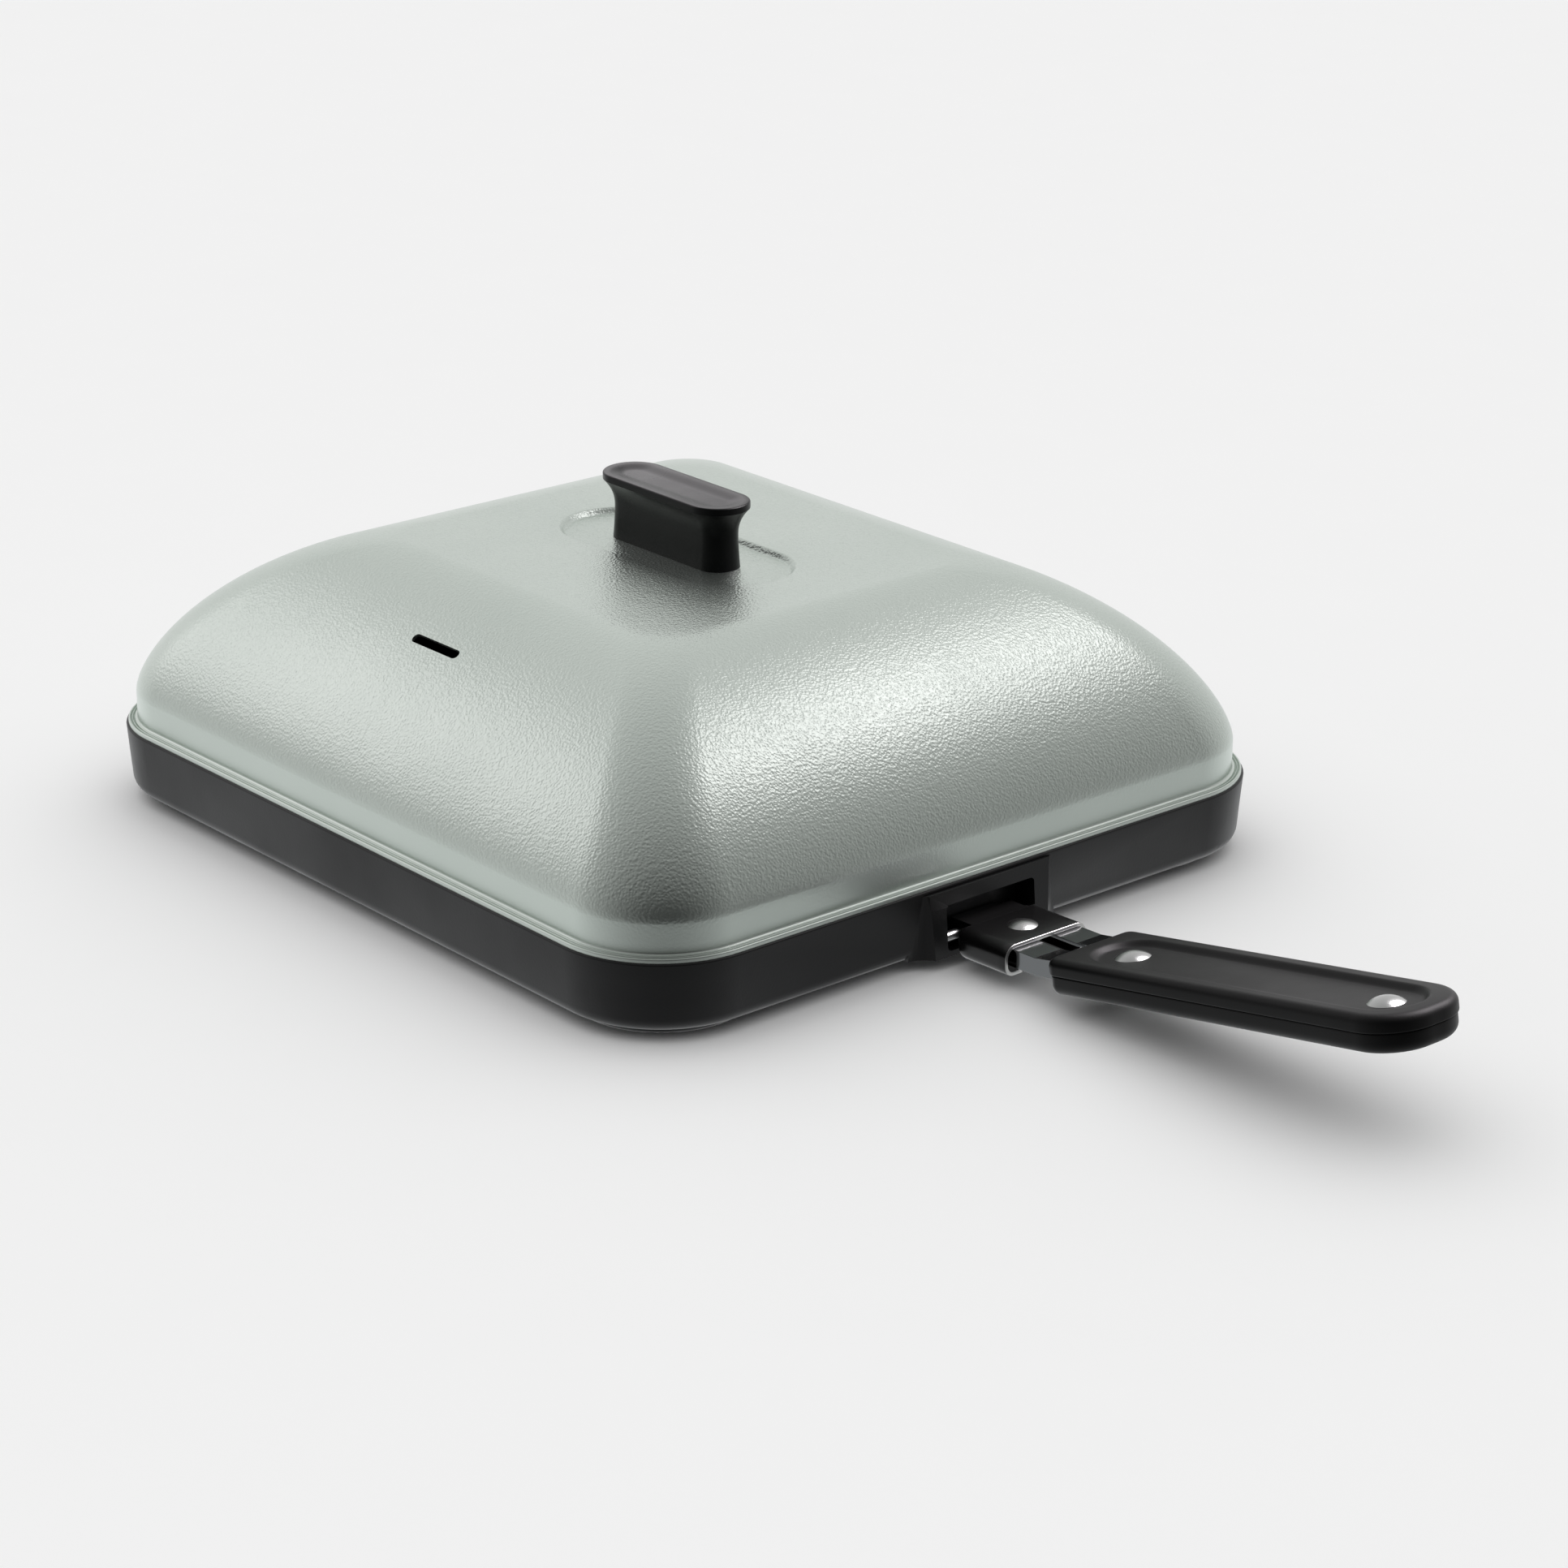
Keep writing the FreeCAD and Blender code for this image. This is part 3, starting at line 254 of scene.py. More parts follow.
# --- meshes ---------------------------------------------------------------------------
def rings(half_x: np.ndarray, half_y: np.ndarray, radius: np.ndarray, z: np.ndarray,
          tip: np.ndarray | None = None) -> np.ndarray:
    """Stack of level rounded rectangles.

    Each ring is four quarter circles, centre plus radius times (cos a, sin a), joined by straight
    sides that are the line from the end of one quarter to the start of the next.

    Args:
        half_x: half length of each ring.
        half_y: half width of each ring.
        radius: plan radius of each ring's corners.
        z: level of each ring.
        tip: plan radius of the two +X corners, where it differs.

    Returns:
        Array of rings by points by 3.
    """
    half_x, half_y, radius, z = np.broadcast_arrays(*map(np.atleast_1d, (half_x, half_y, radius, z)))
    tip = radius if tip is None else np.broadcast_to(tip, radius.shape)
    turn = np.linspace(0, QUARTER, ARC_STEPS + 1)
    corners = ((1, 1, tip), (-1, 1, radius), (-1, -1, radius), (1, -1, tip))
    arcs = []
    for quarter, (side_x, side_y, bend) in enumerate(corners):
        bend = np.minimum(bend, np.minimum(half_x, half_y))[:, None]
        angle = turn[None, :] + quarter * QUARTER
        x = side_x * (half_x[:, None] - bend) + bend * np.cos(angle)
        y = side_y * (half_y[:, None] - bend) + bend * np.sin(angle)
        arcs.append(np.stack([x, y], axis=2))
    share = (np.arange(1, SIDE_STEPS) / SIDE_STEPS)[None, :, None]
    runs = []
    for here, after in zip(arcs, arcs[1:] + arcs[:1]):
        side = here[:, -1:, :] * (1 - share) + after[:, :1, :] * share
        runs += [here, side]
    plan = np.concatenate(runs, axis=1)
    level = np.broadcast_to(z[:, None, None], (*plan.shape[:2], 1))
    return np.concatenate([plan, level], axis=2)


def grid_faces(rows: int, columns: int, close_rows: bool = False) -> np.ndarray:
    """Quads of a grid whose columns close into a ring.

    Args:
        rows: number of rows.
        columns: points in each row.
        close_rows: whether the last row joins the first.

    Returns:
        Array of quads by 4 point numbers.
    """
    last = rows if close_rows else rows - 1
    row, column = np.meshgrid(np.arange(last), np.arange(columns), indexing="ij")
    row_after, column_after = (row + 1) % rows, (column + 1) % columns
    corners = [row * columns + column, row * columns + column_after,
               row_after * columns + column_after, row_after * columns + column]
    return np.stack(corners, axis=-1).reshape(-1, 4)


def smoothstep(share: np.ndarray) -> np.ndarray:
    """S-shaped rise from 0 to 1, 3 s^2 - 2 s^3."""
    return share ** 2 * (3 - 2 * share)


def finish_mesh(mesh: bpy.types.Mesh, sharp_degrees: float) -> None:
    """Merges doubled points, turns faces outwards, and shades smooth up to a sharp angle.

    Args:
        mesh: the mesh, which is changed in place.
        sharp_degrees: faces that meet at more than this keep a crisp edge.
    """
    work = bmesh.new()
    work.from_mesh(mesh)
    bmesh.ops.remove_doubles(work, verts=work.verts, dist=MERGE)
    bmesh.ops.recalc_face_normals(work, faces=work.faces)
    work.to_mesh(mesh)
    work.free()
    mesh.shade_smooth()
    mesh.set_sharp_from_angle(angle=math.radians(sharp_degrees))


def add_object(name: str, data: bpy.types.ID) -> bpy.types.Object:
    """Adds an object to the scene, at the origin.

    Args:
        name: its name.
        data: its mesh, light or camera.

    Returns:
        The new object.
    """
    thing = bpy.data.objects.new(name, data)
    bpy.context.scene.collection.objects.link(thing)
    return thing


def new_piece(name: str, points: np.ndarray, faces: np.ndarray, body: str,
              material: bpy.types.Material, sharp_degrees: float = 35.0) -> bpy.types.Object:
    """Makes a piece from a grid of points.

    Args:
        name: name of the piece.
        points: array of points, in metres.
        faces: array of quads.
        body: body that it rides on.
        material: its finish.
        sharp_degrees: faces that meet at more than this keep a crisp edge.

    Returns:
        The new object.
    """
    mesh = bpy.data.meshes.new(name)
    mesh.from_pydata(points.reshape(-1, 3).tolist(), [], faces.tolist())
    finish_mesh(mesh, sharp_degrees)
    mesh.materials.append(material)
    piece = add_object(name, mesh)
    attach(piece, body)
    LOG.info("%s: %d faces", name, len(mesh.polygons))
    return piece


def smooth_copy(node: str, body: str, material: bpy.types.Material,
                sharp_degrees: float = 28.0, edge_mm: float = 0.0) -> bpy.types.Object:
    """Copies a CAD node, merges its loose triangles, and eases its edges.

    Args:
        node: the CAD node, which the copy replaces.
        body: body that it rides on.
        material: its finish.
        sharp_degrees: faces that meet at more than this keep an edge.
        edge_mm: width of a bevel along those edges, or 0 for none.

    Returns:
        The new object.
    """
    mesh = frame["nodes"][node].data.copy()
    mesh.name = f"{node}_finished"
    mesh.materials.clear()
    work = bmesh.new()
    work.from_mesh(mesh)
    bmesh.ops.remove_doubles(work, verts=work.verts, dist=CAD_MERGE)
    if edge_mm:
        bmesh.ops.dissolve_limit(
            work, angle_limit=math.radians(FLAT_DEGREES), verts=work.verts, edges=work.edges)
    work.to_mesh(mesh)
    work.free()
    mesh.shade_smooth()
    mesh.set_sharp_from_angle(angle=math.radians(sharp_degrees))
    mesh.materials.append(material)
    piece = add_object(mesh.name, mesh)
    if edge_mm:
        bevel = piece.modifiers.new("eased_edges", "BEVEL")
        bevel.width = edge_mm * MM
        bevel.segments = EASE_STEPS
        bevel.limit_method = "ANGLE"
        bevel.angle_limit = math.radians(sharp_degrees)
    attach(piece, body)
    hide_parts(node)
    LOG.info("%s stands for %s", piece.name, node)
    return piece


def boolean(mesh: bpy.types.Mesh, cutter: bpy.types.Mesh, keep: Cut) -> bpy.types.Mesh:
    """Cuts one closed mesh with another.

    Args:
        mesh: the mesh that is cut.
        cutter: the mesh that cuts it.
        keep: whether what lies outside or inside the cutter is kept.

    Returns:
        The new mesh.
    """
    pieces = [add_object(part.name, part) for part in (mesh, cutter)]
    modifier = pieces[0].modifiers.new("cut", "BOOLEAN")
    modifier.object = pieces[1]
    modifier.operation = keep.value
    modifier.solver = "EXACT"
    bpy.context.view_layer.update()
    cut = bpy.data.meshes.new_from_object(pieces[0].evaluated_get(bpy.context.evaluated_depsgraph_get()))
    for part in pieces:
        bpy.data.objects.remove(part)
    return cut


def cut_piece(piece: bpy.types.Object, cutter: np.ndarray, sharp_degrees: float,
              place: Matrix = Matrix.Identity(4)) -> None:
    """Cuts a closed grid of points out of a piece and shades it again.

    Args:
        piece: the piece that is cut.
        cutter: rings of the cutter, the first and last of them closed to a point or a line.
        sharp_degrees: faces that meet at more than this keep a crisp edge.
        place: where the cutter goes.
    """
    mesh = bpy.data.meshes.new("cutter")
    mesh.from_pydata(cutter.reshape(-1, 3).tolist(), [], grid_faces(*cutter.shape[:2]).tolist())
    finish_mesh(mesh, sharp_degrees)
    mesh.transform(place)
    piece.data = boolean(piece.data, mesh, Cut.OUTSIDE)
    piece.data.shade_smooth()
    piece.data.set_sharp_from_angle(angle=math.radians(sharp_degrees))


def dress(node: str, material: bpy.types.Material) -> None:
    """Gives a CAD node that stays its finish.

    Args:
        node: the CAD node.
        material: its finish.
    """
    shape = frame["nodes"][node]
    shape.data.materials.clear()
    shape.data.materials.append(material)
    LOG.info("%s keeps its shape", node)


# --- lid ------------------------------------------------------------------------------
@dataclass
class Lid:
    """Pressed lid: flange with two rolled lines, upright foot, dome, sunk seat and steam slot."""

    coat: bpy.types.Material
    sheet: float = 1.2 * MM
    flange: float = 3.1 * MM
    flange_thick: float = 1.4 * MM
    flange_edge: float = 0.5 * MM
    line_depth: float = 0.8 * MM        # hollow between the flange's two rolled lines
    foot_height: float = 9.5 * MM
    foot_bend: float = 0.8 * MM
    run_x: float = 74.5 * MM            # plan distance from the foot to the flat top
    run_y: float = 66.0 * MM
    power: float = 1.5                  # exponent of the dome's superellipse
    top_corner: float = 15.0 * MM
    foot_corner: float = 33.1 * MM      # plan radius of the foot's corners
    skirt_in: float = 4.3 * MM          # flange's outside to the skirt's outside
    skirt_drop: float = 3.5 * MM
    seat_x: float = 49.0 * MM
    seat_y: float = 21.3 * MM
    seat_depth: float = 1.8 * MM
    seat_slope: float = 2.5 * MM
    slot_length: float = 23.5 * MM
    slot_width: float = 3.4 * MM
    slot_in: float = 34.4 * MM          # foot to the slot, in plan
    slot_reach: float = 4.0 * MM        # how far its cutter goes to each side of the sheet
    gutter: float = 0.5 * MM            # underside of the flange, below its top
    lines: int = 2                      # hollows that leave the rolled lines between them
    crowding: float = 1.25              # draws the dome's rings together at the foot
    lip_steps: int = 5                  # steps along each stretch of the section
    line_steps: int = 32
    bend_steps: int = 6
    foot_steps: int = 4
    dome_steps: int = 44
    flat_steps: int = 9
    slope_steps: int = 12
    floor_steps: int = 5

    def __post_init__(self) -> None:
        """Takes the lid's outside from its CAD node."""
        low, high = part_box("lid_shell")
        self.half_x, self.half_y = high.x, high.y
        self.rim, self.top = low.z + self.skirt_drop, high.z
        self.foot_top = self.rim + self.flange_thick + self.foot_height
        self.rise = self.top - self.foot_top

    def dome(self, angle: np.ndarray, inset: float) -> tuple[np.ndarray, ...]:
        """Rings of the dome.

        A superellipse from the foot, share = 1 - cos(angle) ** (2 / power) of the plan run and
        rise times sin(angle) ** (2 / power), moved inwards along its normal by the inset. The plan
        corner shrinks with the square of the share that is left.

        Args:
            angle: 0 at the foot to 90 degrees at the flat top, in radians.
            inset: sheet thickness for the inside, or 0.

        Returns:
            Half length, half width, corner radius and level of each ring.
        """
        share = 1 - np.clip(np.cos(angle), 0, 1) ** (2 / self.power)
        up = self.rise * np.sin(angle) ** (2 / self.power)
        run_slope = np.gradient(share * self.run_y, angle, edge_order=2)
        rise_slope = np.gradient(up, angle, edge_order=2)
        length = np.hypot(run_slope, rise_slope)
        out, lift = rise_slope / length, run_slope / length
        out[0], lift[0], out[-1], lift[-1] = 1, 0, 0, 1
        corner = self.top_corner + (self.foot_corner - self.top_corner) * (1 - share) ** 2 - inset * out
        return (self.half_x - self.flange - self.run_x * share - inset * out,
                self.half_y - self.flange - self.run_y * share - inset * out,
                corner, self.foot_top + up - inset * lift)

    def seat(self, inset: float) -> tuple[np.ndarray, ...]:
        """Flat top, then the sunk seat's S-shaped edge, then its floor down to a line.

        The edge is the smoothstep 3 s^2 - 2 s^3 of the seat's depth over its slope.

        Args:
            inset: sheet thickness for the inside, or 0.

        Returns:
            Half length, half width, corner radius and level of each ring.
        """
        top = self.top - inset
        flat = np.linspace(0, 1, self.flat_steps + 1)[1:]
        last_x = self.half_x - self.flange - self.run_x
        last_y = self.half_y - self.flange - self.run_y
        out_x, out_y = self.seat_x + inset, self.seat_y + inset
        half_x = last_x + (out_x - last_x) * flat
        half_y = last_y + (out_y - last_y) * flat
        corner = self.top_corner + (out_y - self.top_corner) * flat
        step = np.linspace(0, 1, self.slope_steps + 1)[1:]
        fall = self.seat_depth * smoothstep(step)
        floor = np.linspace(1, 0, self.floor_steps + 1)[1:]
        base_y = out_y - self.seat_slope
        line = out_x - out_y
        return (np.concatenate([half_x, out_x - self.seat_slope * step, line + base_y * floor]),
                np.concatenate([half_y, out_y - self.seat_slope * step, base_y * floor]),
                np.concatenate([corner, out_y - self.seat_slope * step, base_y * floor]),
                np.concatenate([np.full(self.flat_steps, top), top - fall,
                                np.full(self.floor_steps, top - self.seat_depth)]))

    def flange_rings(self) -> tuple[np.ndarray, ...]:
        """Outside of the flange: underside edge, quarter-round lip, rolled lines, bend into the foot.

        The hollows between the lines are raised cosines, one period each.

        Returns:
            Half length, half width, corner radius and level of each ring.
        """
        edge = np.linspace(0, QUARTER, self.lip_steps + 1)
        lip_in = self.flange_edge * (1 - np.cos(edge))
        lip_up = self.rim + self.flange_thick - self.flange_edge * (1 - np.sin(edge))
        start, end = self.flange_edge, self.flange - self.foot_bend
        across = np.linspace(0, 1, self.line_steps + 1)[1:]
        hollow = self.line_depth * (1 - np.cos(2 * math.pi * across * self.lines)) / 2 * (across < 1)
        bend = np.linspace(0, QUARTER, self.bend_steps + 1)[1:]
        inset = np.concatenate([[0.0], lip_in, start + (end - start) * across,
                                end + self.foot_bend * np.sin(bend)])
        level = np.concatenate([[self.rim], lip_up, self.rim + self.flange_thick - hollow,
                                self.rim + self.flange_thick + self.foot_bend * (1 - np.cos(bend))])
        corner = self.foot_corner + self.flange
        return self.half_x - inset, self.half_y - inset, corner - inset, level

    def outline(self) -> np.ndarray:
        """All rings of the closed shell: flange, outside up to the seat, then inside down to the skirt.

        Returns:
            Array of rings by points by 3.
        """
        angle = QUARTER * np.linspace(0, 1, self.dome_steps + 1) ** self.crowding
        foot_low = self.rim + self.flange_thick + self.foot_bend
        foot_level = np.linspace(foot_low, self.foot_top, self.foot_steps + 1)[1:-1]
        foot = (np.full_like(foot_level, self.half_x - self.flange),
                np.full_like(foot_level, self.half_y - self.flange),
                np.full_like(foot_level, self.foot_corner), foot_level)
        outside = [self.flange_rings(), foot, self.dome(angle, 0.0), self.seat(0.0)]
        inside = [self.dome(angle, self.sheet), self.seat(self.sheet)]
        bore = self.skirt_in + self.sheet
        under = self.rim + self.flange_thick - self.gutter
        low = self.rim - self.skirt_drop
        inset = np.array([self.flange + self.sheet, bore, bore, self.skirt_in, self.skirt_in])
        level = np.array([under, under, low, low, self.rim])
        skirt = (self.half_x - inset, self.half_y - inset, self.foot_corner + self.flange - inset, level)
        up = [np.concatenate(column) for column in zip(*outside)]
        back = [np.concatenate(column)[::-1] for column in zip(*inside)]
        whole = [np.concatenate([a, b, c]) for a, b, c in zip(up, back, skirt)]
        return rings(*whole)

    def cut_slot(self, piece: bpy.types.Object) -> None:
        """Cuts the round-ended steam slot, square to the sheet, on the lid's -Y shoulder.

        Args:
            piece: the lid's shell.
        """
        share = self.slot_in / self.run_y
        angle = math.acos((1 - share) ** (self.power / 2))
        nudge = 0.02        # radians to each side, for the slope there
        near = np.array([angle - nudge, angle, angle + nudge])
        plan = self.run_y * (1 - np.cos(near) ** (2 / self.power))
        up = self.rise * np.sin(near) ** (2 / self.power)
        tilt = math.atan2(up[2] - up[0], plan[2] - plan[0])
        half_x, half_y = self.slot_length / 2, self.slot_width / 2
        level = np.array([-1, -1, 1, 1]) * self.slot_reach
        tube = rings(np.array([half_x - half_y, half_x, half_x, half_x - half_y]),
                     np.array([TINY, half_y, half_y, TINY]), np.array([TINY, half_y, half_y, TINY]), level)
        middle = (0, -self.half_y + self.flange + self.slot_in, self.foot_top + up[1])
        place = Matrix.Translation(middle) @ Matrix.Rotation(tilt, 4, "X")
        cut_piece(piece, tube, sharp_degrees=35, place=place)

    def build(self) -> bpy.types.Object:
        """Makes the lid's shell.

        The rings run down to a line on the outside and start from a line on the inside; the
        faces between those two lines are left out, so the sheet stays hollow there.

        Returns:
            The piece.
        """
        grid = self.outline()
        faces = grid_faces(*grid.shape[:2], close_rows=True)
        line = np.flatnonzero(np.ptp(grid[:, :, 1], axis=1) < TINY)[0]      # the outside's last ring
        faces = np.delete(faces, np.s_[line * grid.shape[1]:(line + 1) * grid.shape[1]], axis=0)
        piece = new_piece("lid_pressing", grid, faces, "lid", self.coat)
        self.cut_slot(piece)
        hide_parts("lid_shell")
        return piece


@dataclass
class Knob:
    """Upright moulded bar: slim neck, flared top, rim band and a dished crown."""

    plastic: bpy.types.Material
    foot_y: float = 7.3 * MM
    neck_in: float = 0.6 * MM
    rim_band: float = 1.7 * MM
    rim_round: float = 0.6 * MM
    rim_width: float = 0.8 * MM
    dish_depth: float = 1.0 * MM
    neck_share: float = 0.48        # height of the neck, as a share of the knob's
    flare_power: float = 2.3
    bowl_rate: float = 1.5          # the bowl is level beyond 1 / this of the way in
    neck_steps: int = 7
    flare_steps: int = 14
    lip_steps: int = 6
    bowl_steps: int = 21

    def build(self) -> bpy.types.Object:
        """Makes the knob.

        The side's outward offset is 0 at the foot, a quarter sine in to the neck at half height,
        then a power curve out to the rim; the crown is a raised-cosine bowl.

        Returns:
            The piece.
        """
        low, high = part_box("lid_knob")
        height = high.z - low.z
        flare = high.y - self.foot_y
        foot_x = high.x - flare
        neck = np.linspace(0, 1, self.neck_steps + 1)
        rise = np.linspace(0, 1, self.flare_steps + 1)[1:]
        neck_top = self.neck_share * height
        band_low = height - self.rim_band - self.rim_round
        offset = [-self.neck_in * np.sin(neck * QUARTER),
                  -self.neck_in + (flare + self.neck_in) * rise ** self.flare_power]
        level = [neck * neck_top, neck_top + (band_low - neck_top) * rise]
        lip = np.linspace(0, QUARTER, self.lip_steps + 1)
        offset.append(flare - self.rim_round * (1 - np.cos(lip)))
        level.append(height - self.rim_round * (1 - np.sin(lip)))
        inner = flare - self.rim_round - self.rim_width
        bowl = np.linspace(0, 1, self.bowl_steps + 1)[1:]
        offset.append((inner + self.foot_y) * (1 - bowl) - self.foot_y)
        fall = (1 - np.cos(np.minimum(bowl * self.bowl_rate, 1) * math.pi)) / 2
        level.append(height - self.dish_depth * fall)
        offset = np.concatenate([[-self.foot_y]] + offset)
        level = np.concatenate([[0.0]] + level) + low.z
        grid = rings(foot_x + offset, self.foot_y + offset, self.foot_y + offset, level)
        piece = new_piece("knob_moulding", grid, grid_faces(*grid.shape[:2]), "lid",
                          self.plastic, sharp_degrees=32)
        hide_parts("lid_knob")
        return piece


# --- handle ---------------------------------------------------------------------------
@dataclass
class Placing:
    """Where the handle's and the grip's own frames stand at rest."""

    handle_pitch: float = 2.0       # degrees
    grip_pitch: float = 8.9
    grip_x: float = 44.3 * MM       # grip's end, out from the pin
    grip_z: float = 0.95 * MM

    def __post_init__(self) -> None:
        """Takes the pin's place from its CAD node."""
        low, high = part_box("hinge_pin")
        self.pin = np.array([(low.x + high.x) / 2, 0, (low.z + high.z) / 2])

    @staticmethod
    def turn(points: np.ndarray, degrees: float) -> np.ndarray:
        """Turns points about the Y axis so that +X rises: x cos - z sin, x sin + z cos.

        Args:
            points: array that ends in x, y, z.
            degrees: how far +X rises.

        Returns:
            The turned points.
        """
        c, s = math.cos(math.radians(degrees)), math.sin(math.radians(degrees))
        x, z = points[..., 0], points[..., 2]
        return np.stack([x * c - z * s, points[..., 1], x * s + z * c], axis=-1)

    def in_handle(self, points: np.ndarray) -> np.ndarray:
        """Moves points from the handle's frame to their place."""
        return self.turn(points, self.handle_pitch) + self.pin

    def in_grip(self, points: np.ndarray) -> np.ndarray:
        """Moves points from the grip's frame to their place."""
        shift = np.array([self.grip_x, 0, self.grip_z])
        return self.in_handle(self.turn(points, self.grip_pitch) + shift)


@dataclass
class Sleeve:
    """Sheet steel wrapped round the tang: black but for its sheared front edge, with an eared rear plate."""

    coat: bpy.types.Material
    bare: bpy.types.Material
    placing: Placing
    start: float = 6.0 * MM         # out from the pin
    length: float = 20.5 * MM
    half: float = 17.0 * MM
    top: float = 4.25 * MM          # above the pin
    depth: float = 9.85 * MM
    sheet: float = 1.2 * MM
    top_bend: float = 4.2 * MM      # outside radii of its long bends
    low_bend: float = 3.4 * MM
    lip: float = 7.0 * MM
    rear_round: float = 4.0 * MM
    burr: float = 0.22 * MM         # rounding of the sheet's edges
    ear_reach: float = 6.1 * MM     # the ears are kept from this far behind the pin
    ear_lap: float = 0.1 * MM       # to this far past the wrap's rear edge
    facing: float = 0.25            # how far forward a face looks to count as the cut edge
    lip_steps: int = 4
    bend_steps: int = 10
    top_steps: int = 8
    edge_steps: int = 4
    span_steps: int = 6

    def path(self) -> tuple[np.ndarray, np.ndarray]:
        """Middle line of the wrapped sheet, seen along X, and its outward normals.

        Half of it is a lip, a quarter circle, the side, a quarter circle and half the top; the
        other half is its mirror image.

        Returns:
            Points and normals, each an array of points by (y, z).
        """
        low = self.top - self.depth
        middle = self.sheet / 2
        turn = np.linspace(0, QUARTER, self.bend_steps + 1)
        lip_y = np.linspace(self.half - self.lip, self.half - self.low_bend, self.lip_steps + 1)[:-1]
        lip = np.stack([lip_y, np.full_like(lip_y, low + middle)], axis=1)
        bend_out = np.stack([np.sin(turn), -np.cos(turn)], axis=1)
        bend = np.array([self.half - self.low_bend, low + self.low_bend])
        bend = bend + (self.low_bend - middle) * bend_out
        rise_out = np.stack([np.cos(turn), np.sin(turn)], axis=1)
        rise = np.array([self.half - self.top_bend, self.top - self.top_bend])
        rise = rise + (self.top_bend - middle) * rise_out
        flat_y = np.linspace(self.half - self.top_bend, 0, self.top_steps + 1)[1:]
        flat = np.stack([flat_y, np.full_like(flat_y, self.top - middle)], axis=1)
        points = np.concatenate([lip, bend, rise, flat])
        normals = np.concatenate([np.tile([0.0, -1.0], (len(lip), 1)), bend_out, rise_out,
                                  np.tile([0.0, 1.0], (len(flat), 1))])
        mirror = np.array([-1.0, 1.0])
        return (np.concatenate([points, points[-2::-1] * mirror]),
                np.concatenate([normals, normals[-2::-1] * mirror]))

    def wrap_grid(self) -> np.ndarray:
        """The sheet's round-cornered section along X, carried along the path; both lips close to a line.

        The rear edge curves forward along a quarter circle towards the lips.

        Returns:
            Rings of points in the handle's frame.
        """
        points, normals = self.path()
        turn = np.linspace(0, QUARTER, self.edge_steps + 1)
        out, along = self.sheet / 2 - self.burr, self.burr
        corner_x = np.concatenate([along * np.sin(turn), along * np.cos(turn)])
        corner_n = np.concatenate([out + self.burr * np.cos(turn), -out - self.burr * np.sin(turn)])
        front_x = self.start + self.length - self.burr + corner_x
        fall = np.clip(self.rear_round - (points[:, 1] - self.top + self.depth), 0, self.rear_round)
        rear = self.start + self.rear_round - np.sqrt(self.rear_round ** 2 - fall ** 2)
        span = np.linspace(0, 1, self.span_steps + 1)[1:-1]
        front = np.broadcast_to(front_x, (len(points), len(front_x)))
        back = rear[:, None] + self.burr - corner_x[::-1][None, :]
        inner = front[:, -1:] * (1 - span) + back[:, :1] * span
        outer = back[:, -1:] * (1 - span) + front[:, :1] * span
        x = np.concatenate([front, inner, back, outer], axis=1)
        face = np.full_like(span, self.sheet / 2)
        n = np.concatenate([corner_n, -face, corner_n[::-1], face])
        place = points[:, None, :] + n[None, :, None] * normals[:, None, :]
        grid = np.concatenate([x[:, :, None], place], axis=2)
        thin = np.broadcast_to(points[:, None, :], place.shape)
        flat = np.concatenate([x[:, :, None], thin], axis=2)
        return np.concatenate([flat[:1], grid, flat[-1:]])

    def ears(self) -> bpy.types.Mesh:
        """The narrow rear plate and its ears, cut from a copy of the CAD sleeve with a box.

        Returns:
            The mesh, in place.
        """
        half = (self.start + self.ear_lap + self.ear_reach) / 2
        middle = (self.start + self.ear_lap - self.ear_reach) / 2
        corner, point = 0.1 * MM, 1e-6
        grow = np.array([point, 1.0, 1.0, point])
        level = np.array([-1.0, -1.0, 1.0, 1.0]) * self.depth
        box = rings(half * grow, self.half * grow, corner * grow, level)
        box = self.placing.in_handle(box + [middle, 0, 0])
        mesh = bpy.data.meshes.new("ear_box")
        mesh.from_pydata(box.reshape(-1, 3).tolist(), [], grid_faces(*box.shape[:2]).tolist())
        source = frame["nodes"]["handle_sleeve"].data.copy()
        for part in (mesh, source):
            finish_mesh(part, sharp_degrees=30)
        return boolean(source, mesh, Cut.INSIDE)

    def build(self) -> bpy.types.Object:
        """Makes the wrap and the ears as one piece, and bares its front edge.

        Returns:
            The piece.
        """
        sharp_degrees = 40
        grid = self.placing.in_handle(self.wrap_grid())
        piece = new_piece("sleeve_wrap", grid, grid_faces(*grid.shape[:2]), "handle",
                          self.coat, sharp_degrees)
        work = bmesh.new()
        work.from_mesh(piece.data)
        work.from_mesh(self.ears())
        work.to_mesh(piece.data)
        work.free()
        mesh = piece.data
        mesh.shade_smooth()
        mesh.set_sharp_from_angle(angle=math.radians(sharp_degrees))
        mesh.materials.append(self.bare)
        count = len(mesh.polygons)
        centre, normal = np.empty(count * 3), np.empty(count * 3)
        mesh.polygons.foreach_get("center", centre)
        mesh.polygons.foreach_get("normal", normal)
        along = self.placing.turn(np.array([1.0, 0.0, 0.0]), self.placing.handle_pitch)
        place = (centre.reshape(-1, 3) - self.placing.pin) @ along
        at_front = place > self.start + self.length - 2 * self.burr
        bare = at_front & (normal.reshape(-1, 3) @ along > self.facing)
        mesh.polygons.foreach_set("material_index", bare.astype(np.int32))
        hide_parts("handle_sleeve")
        return piece


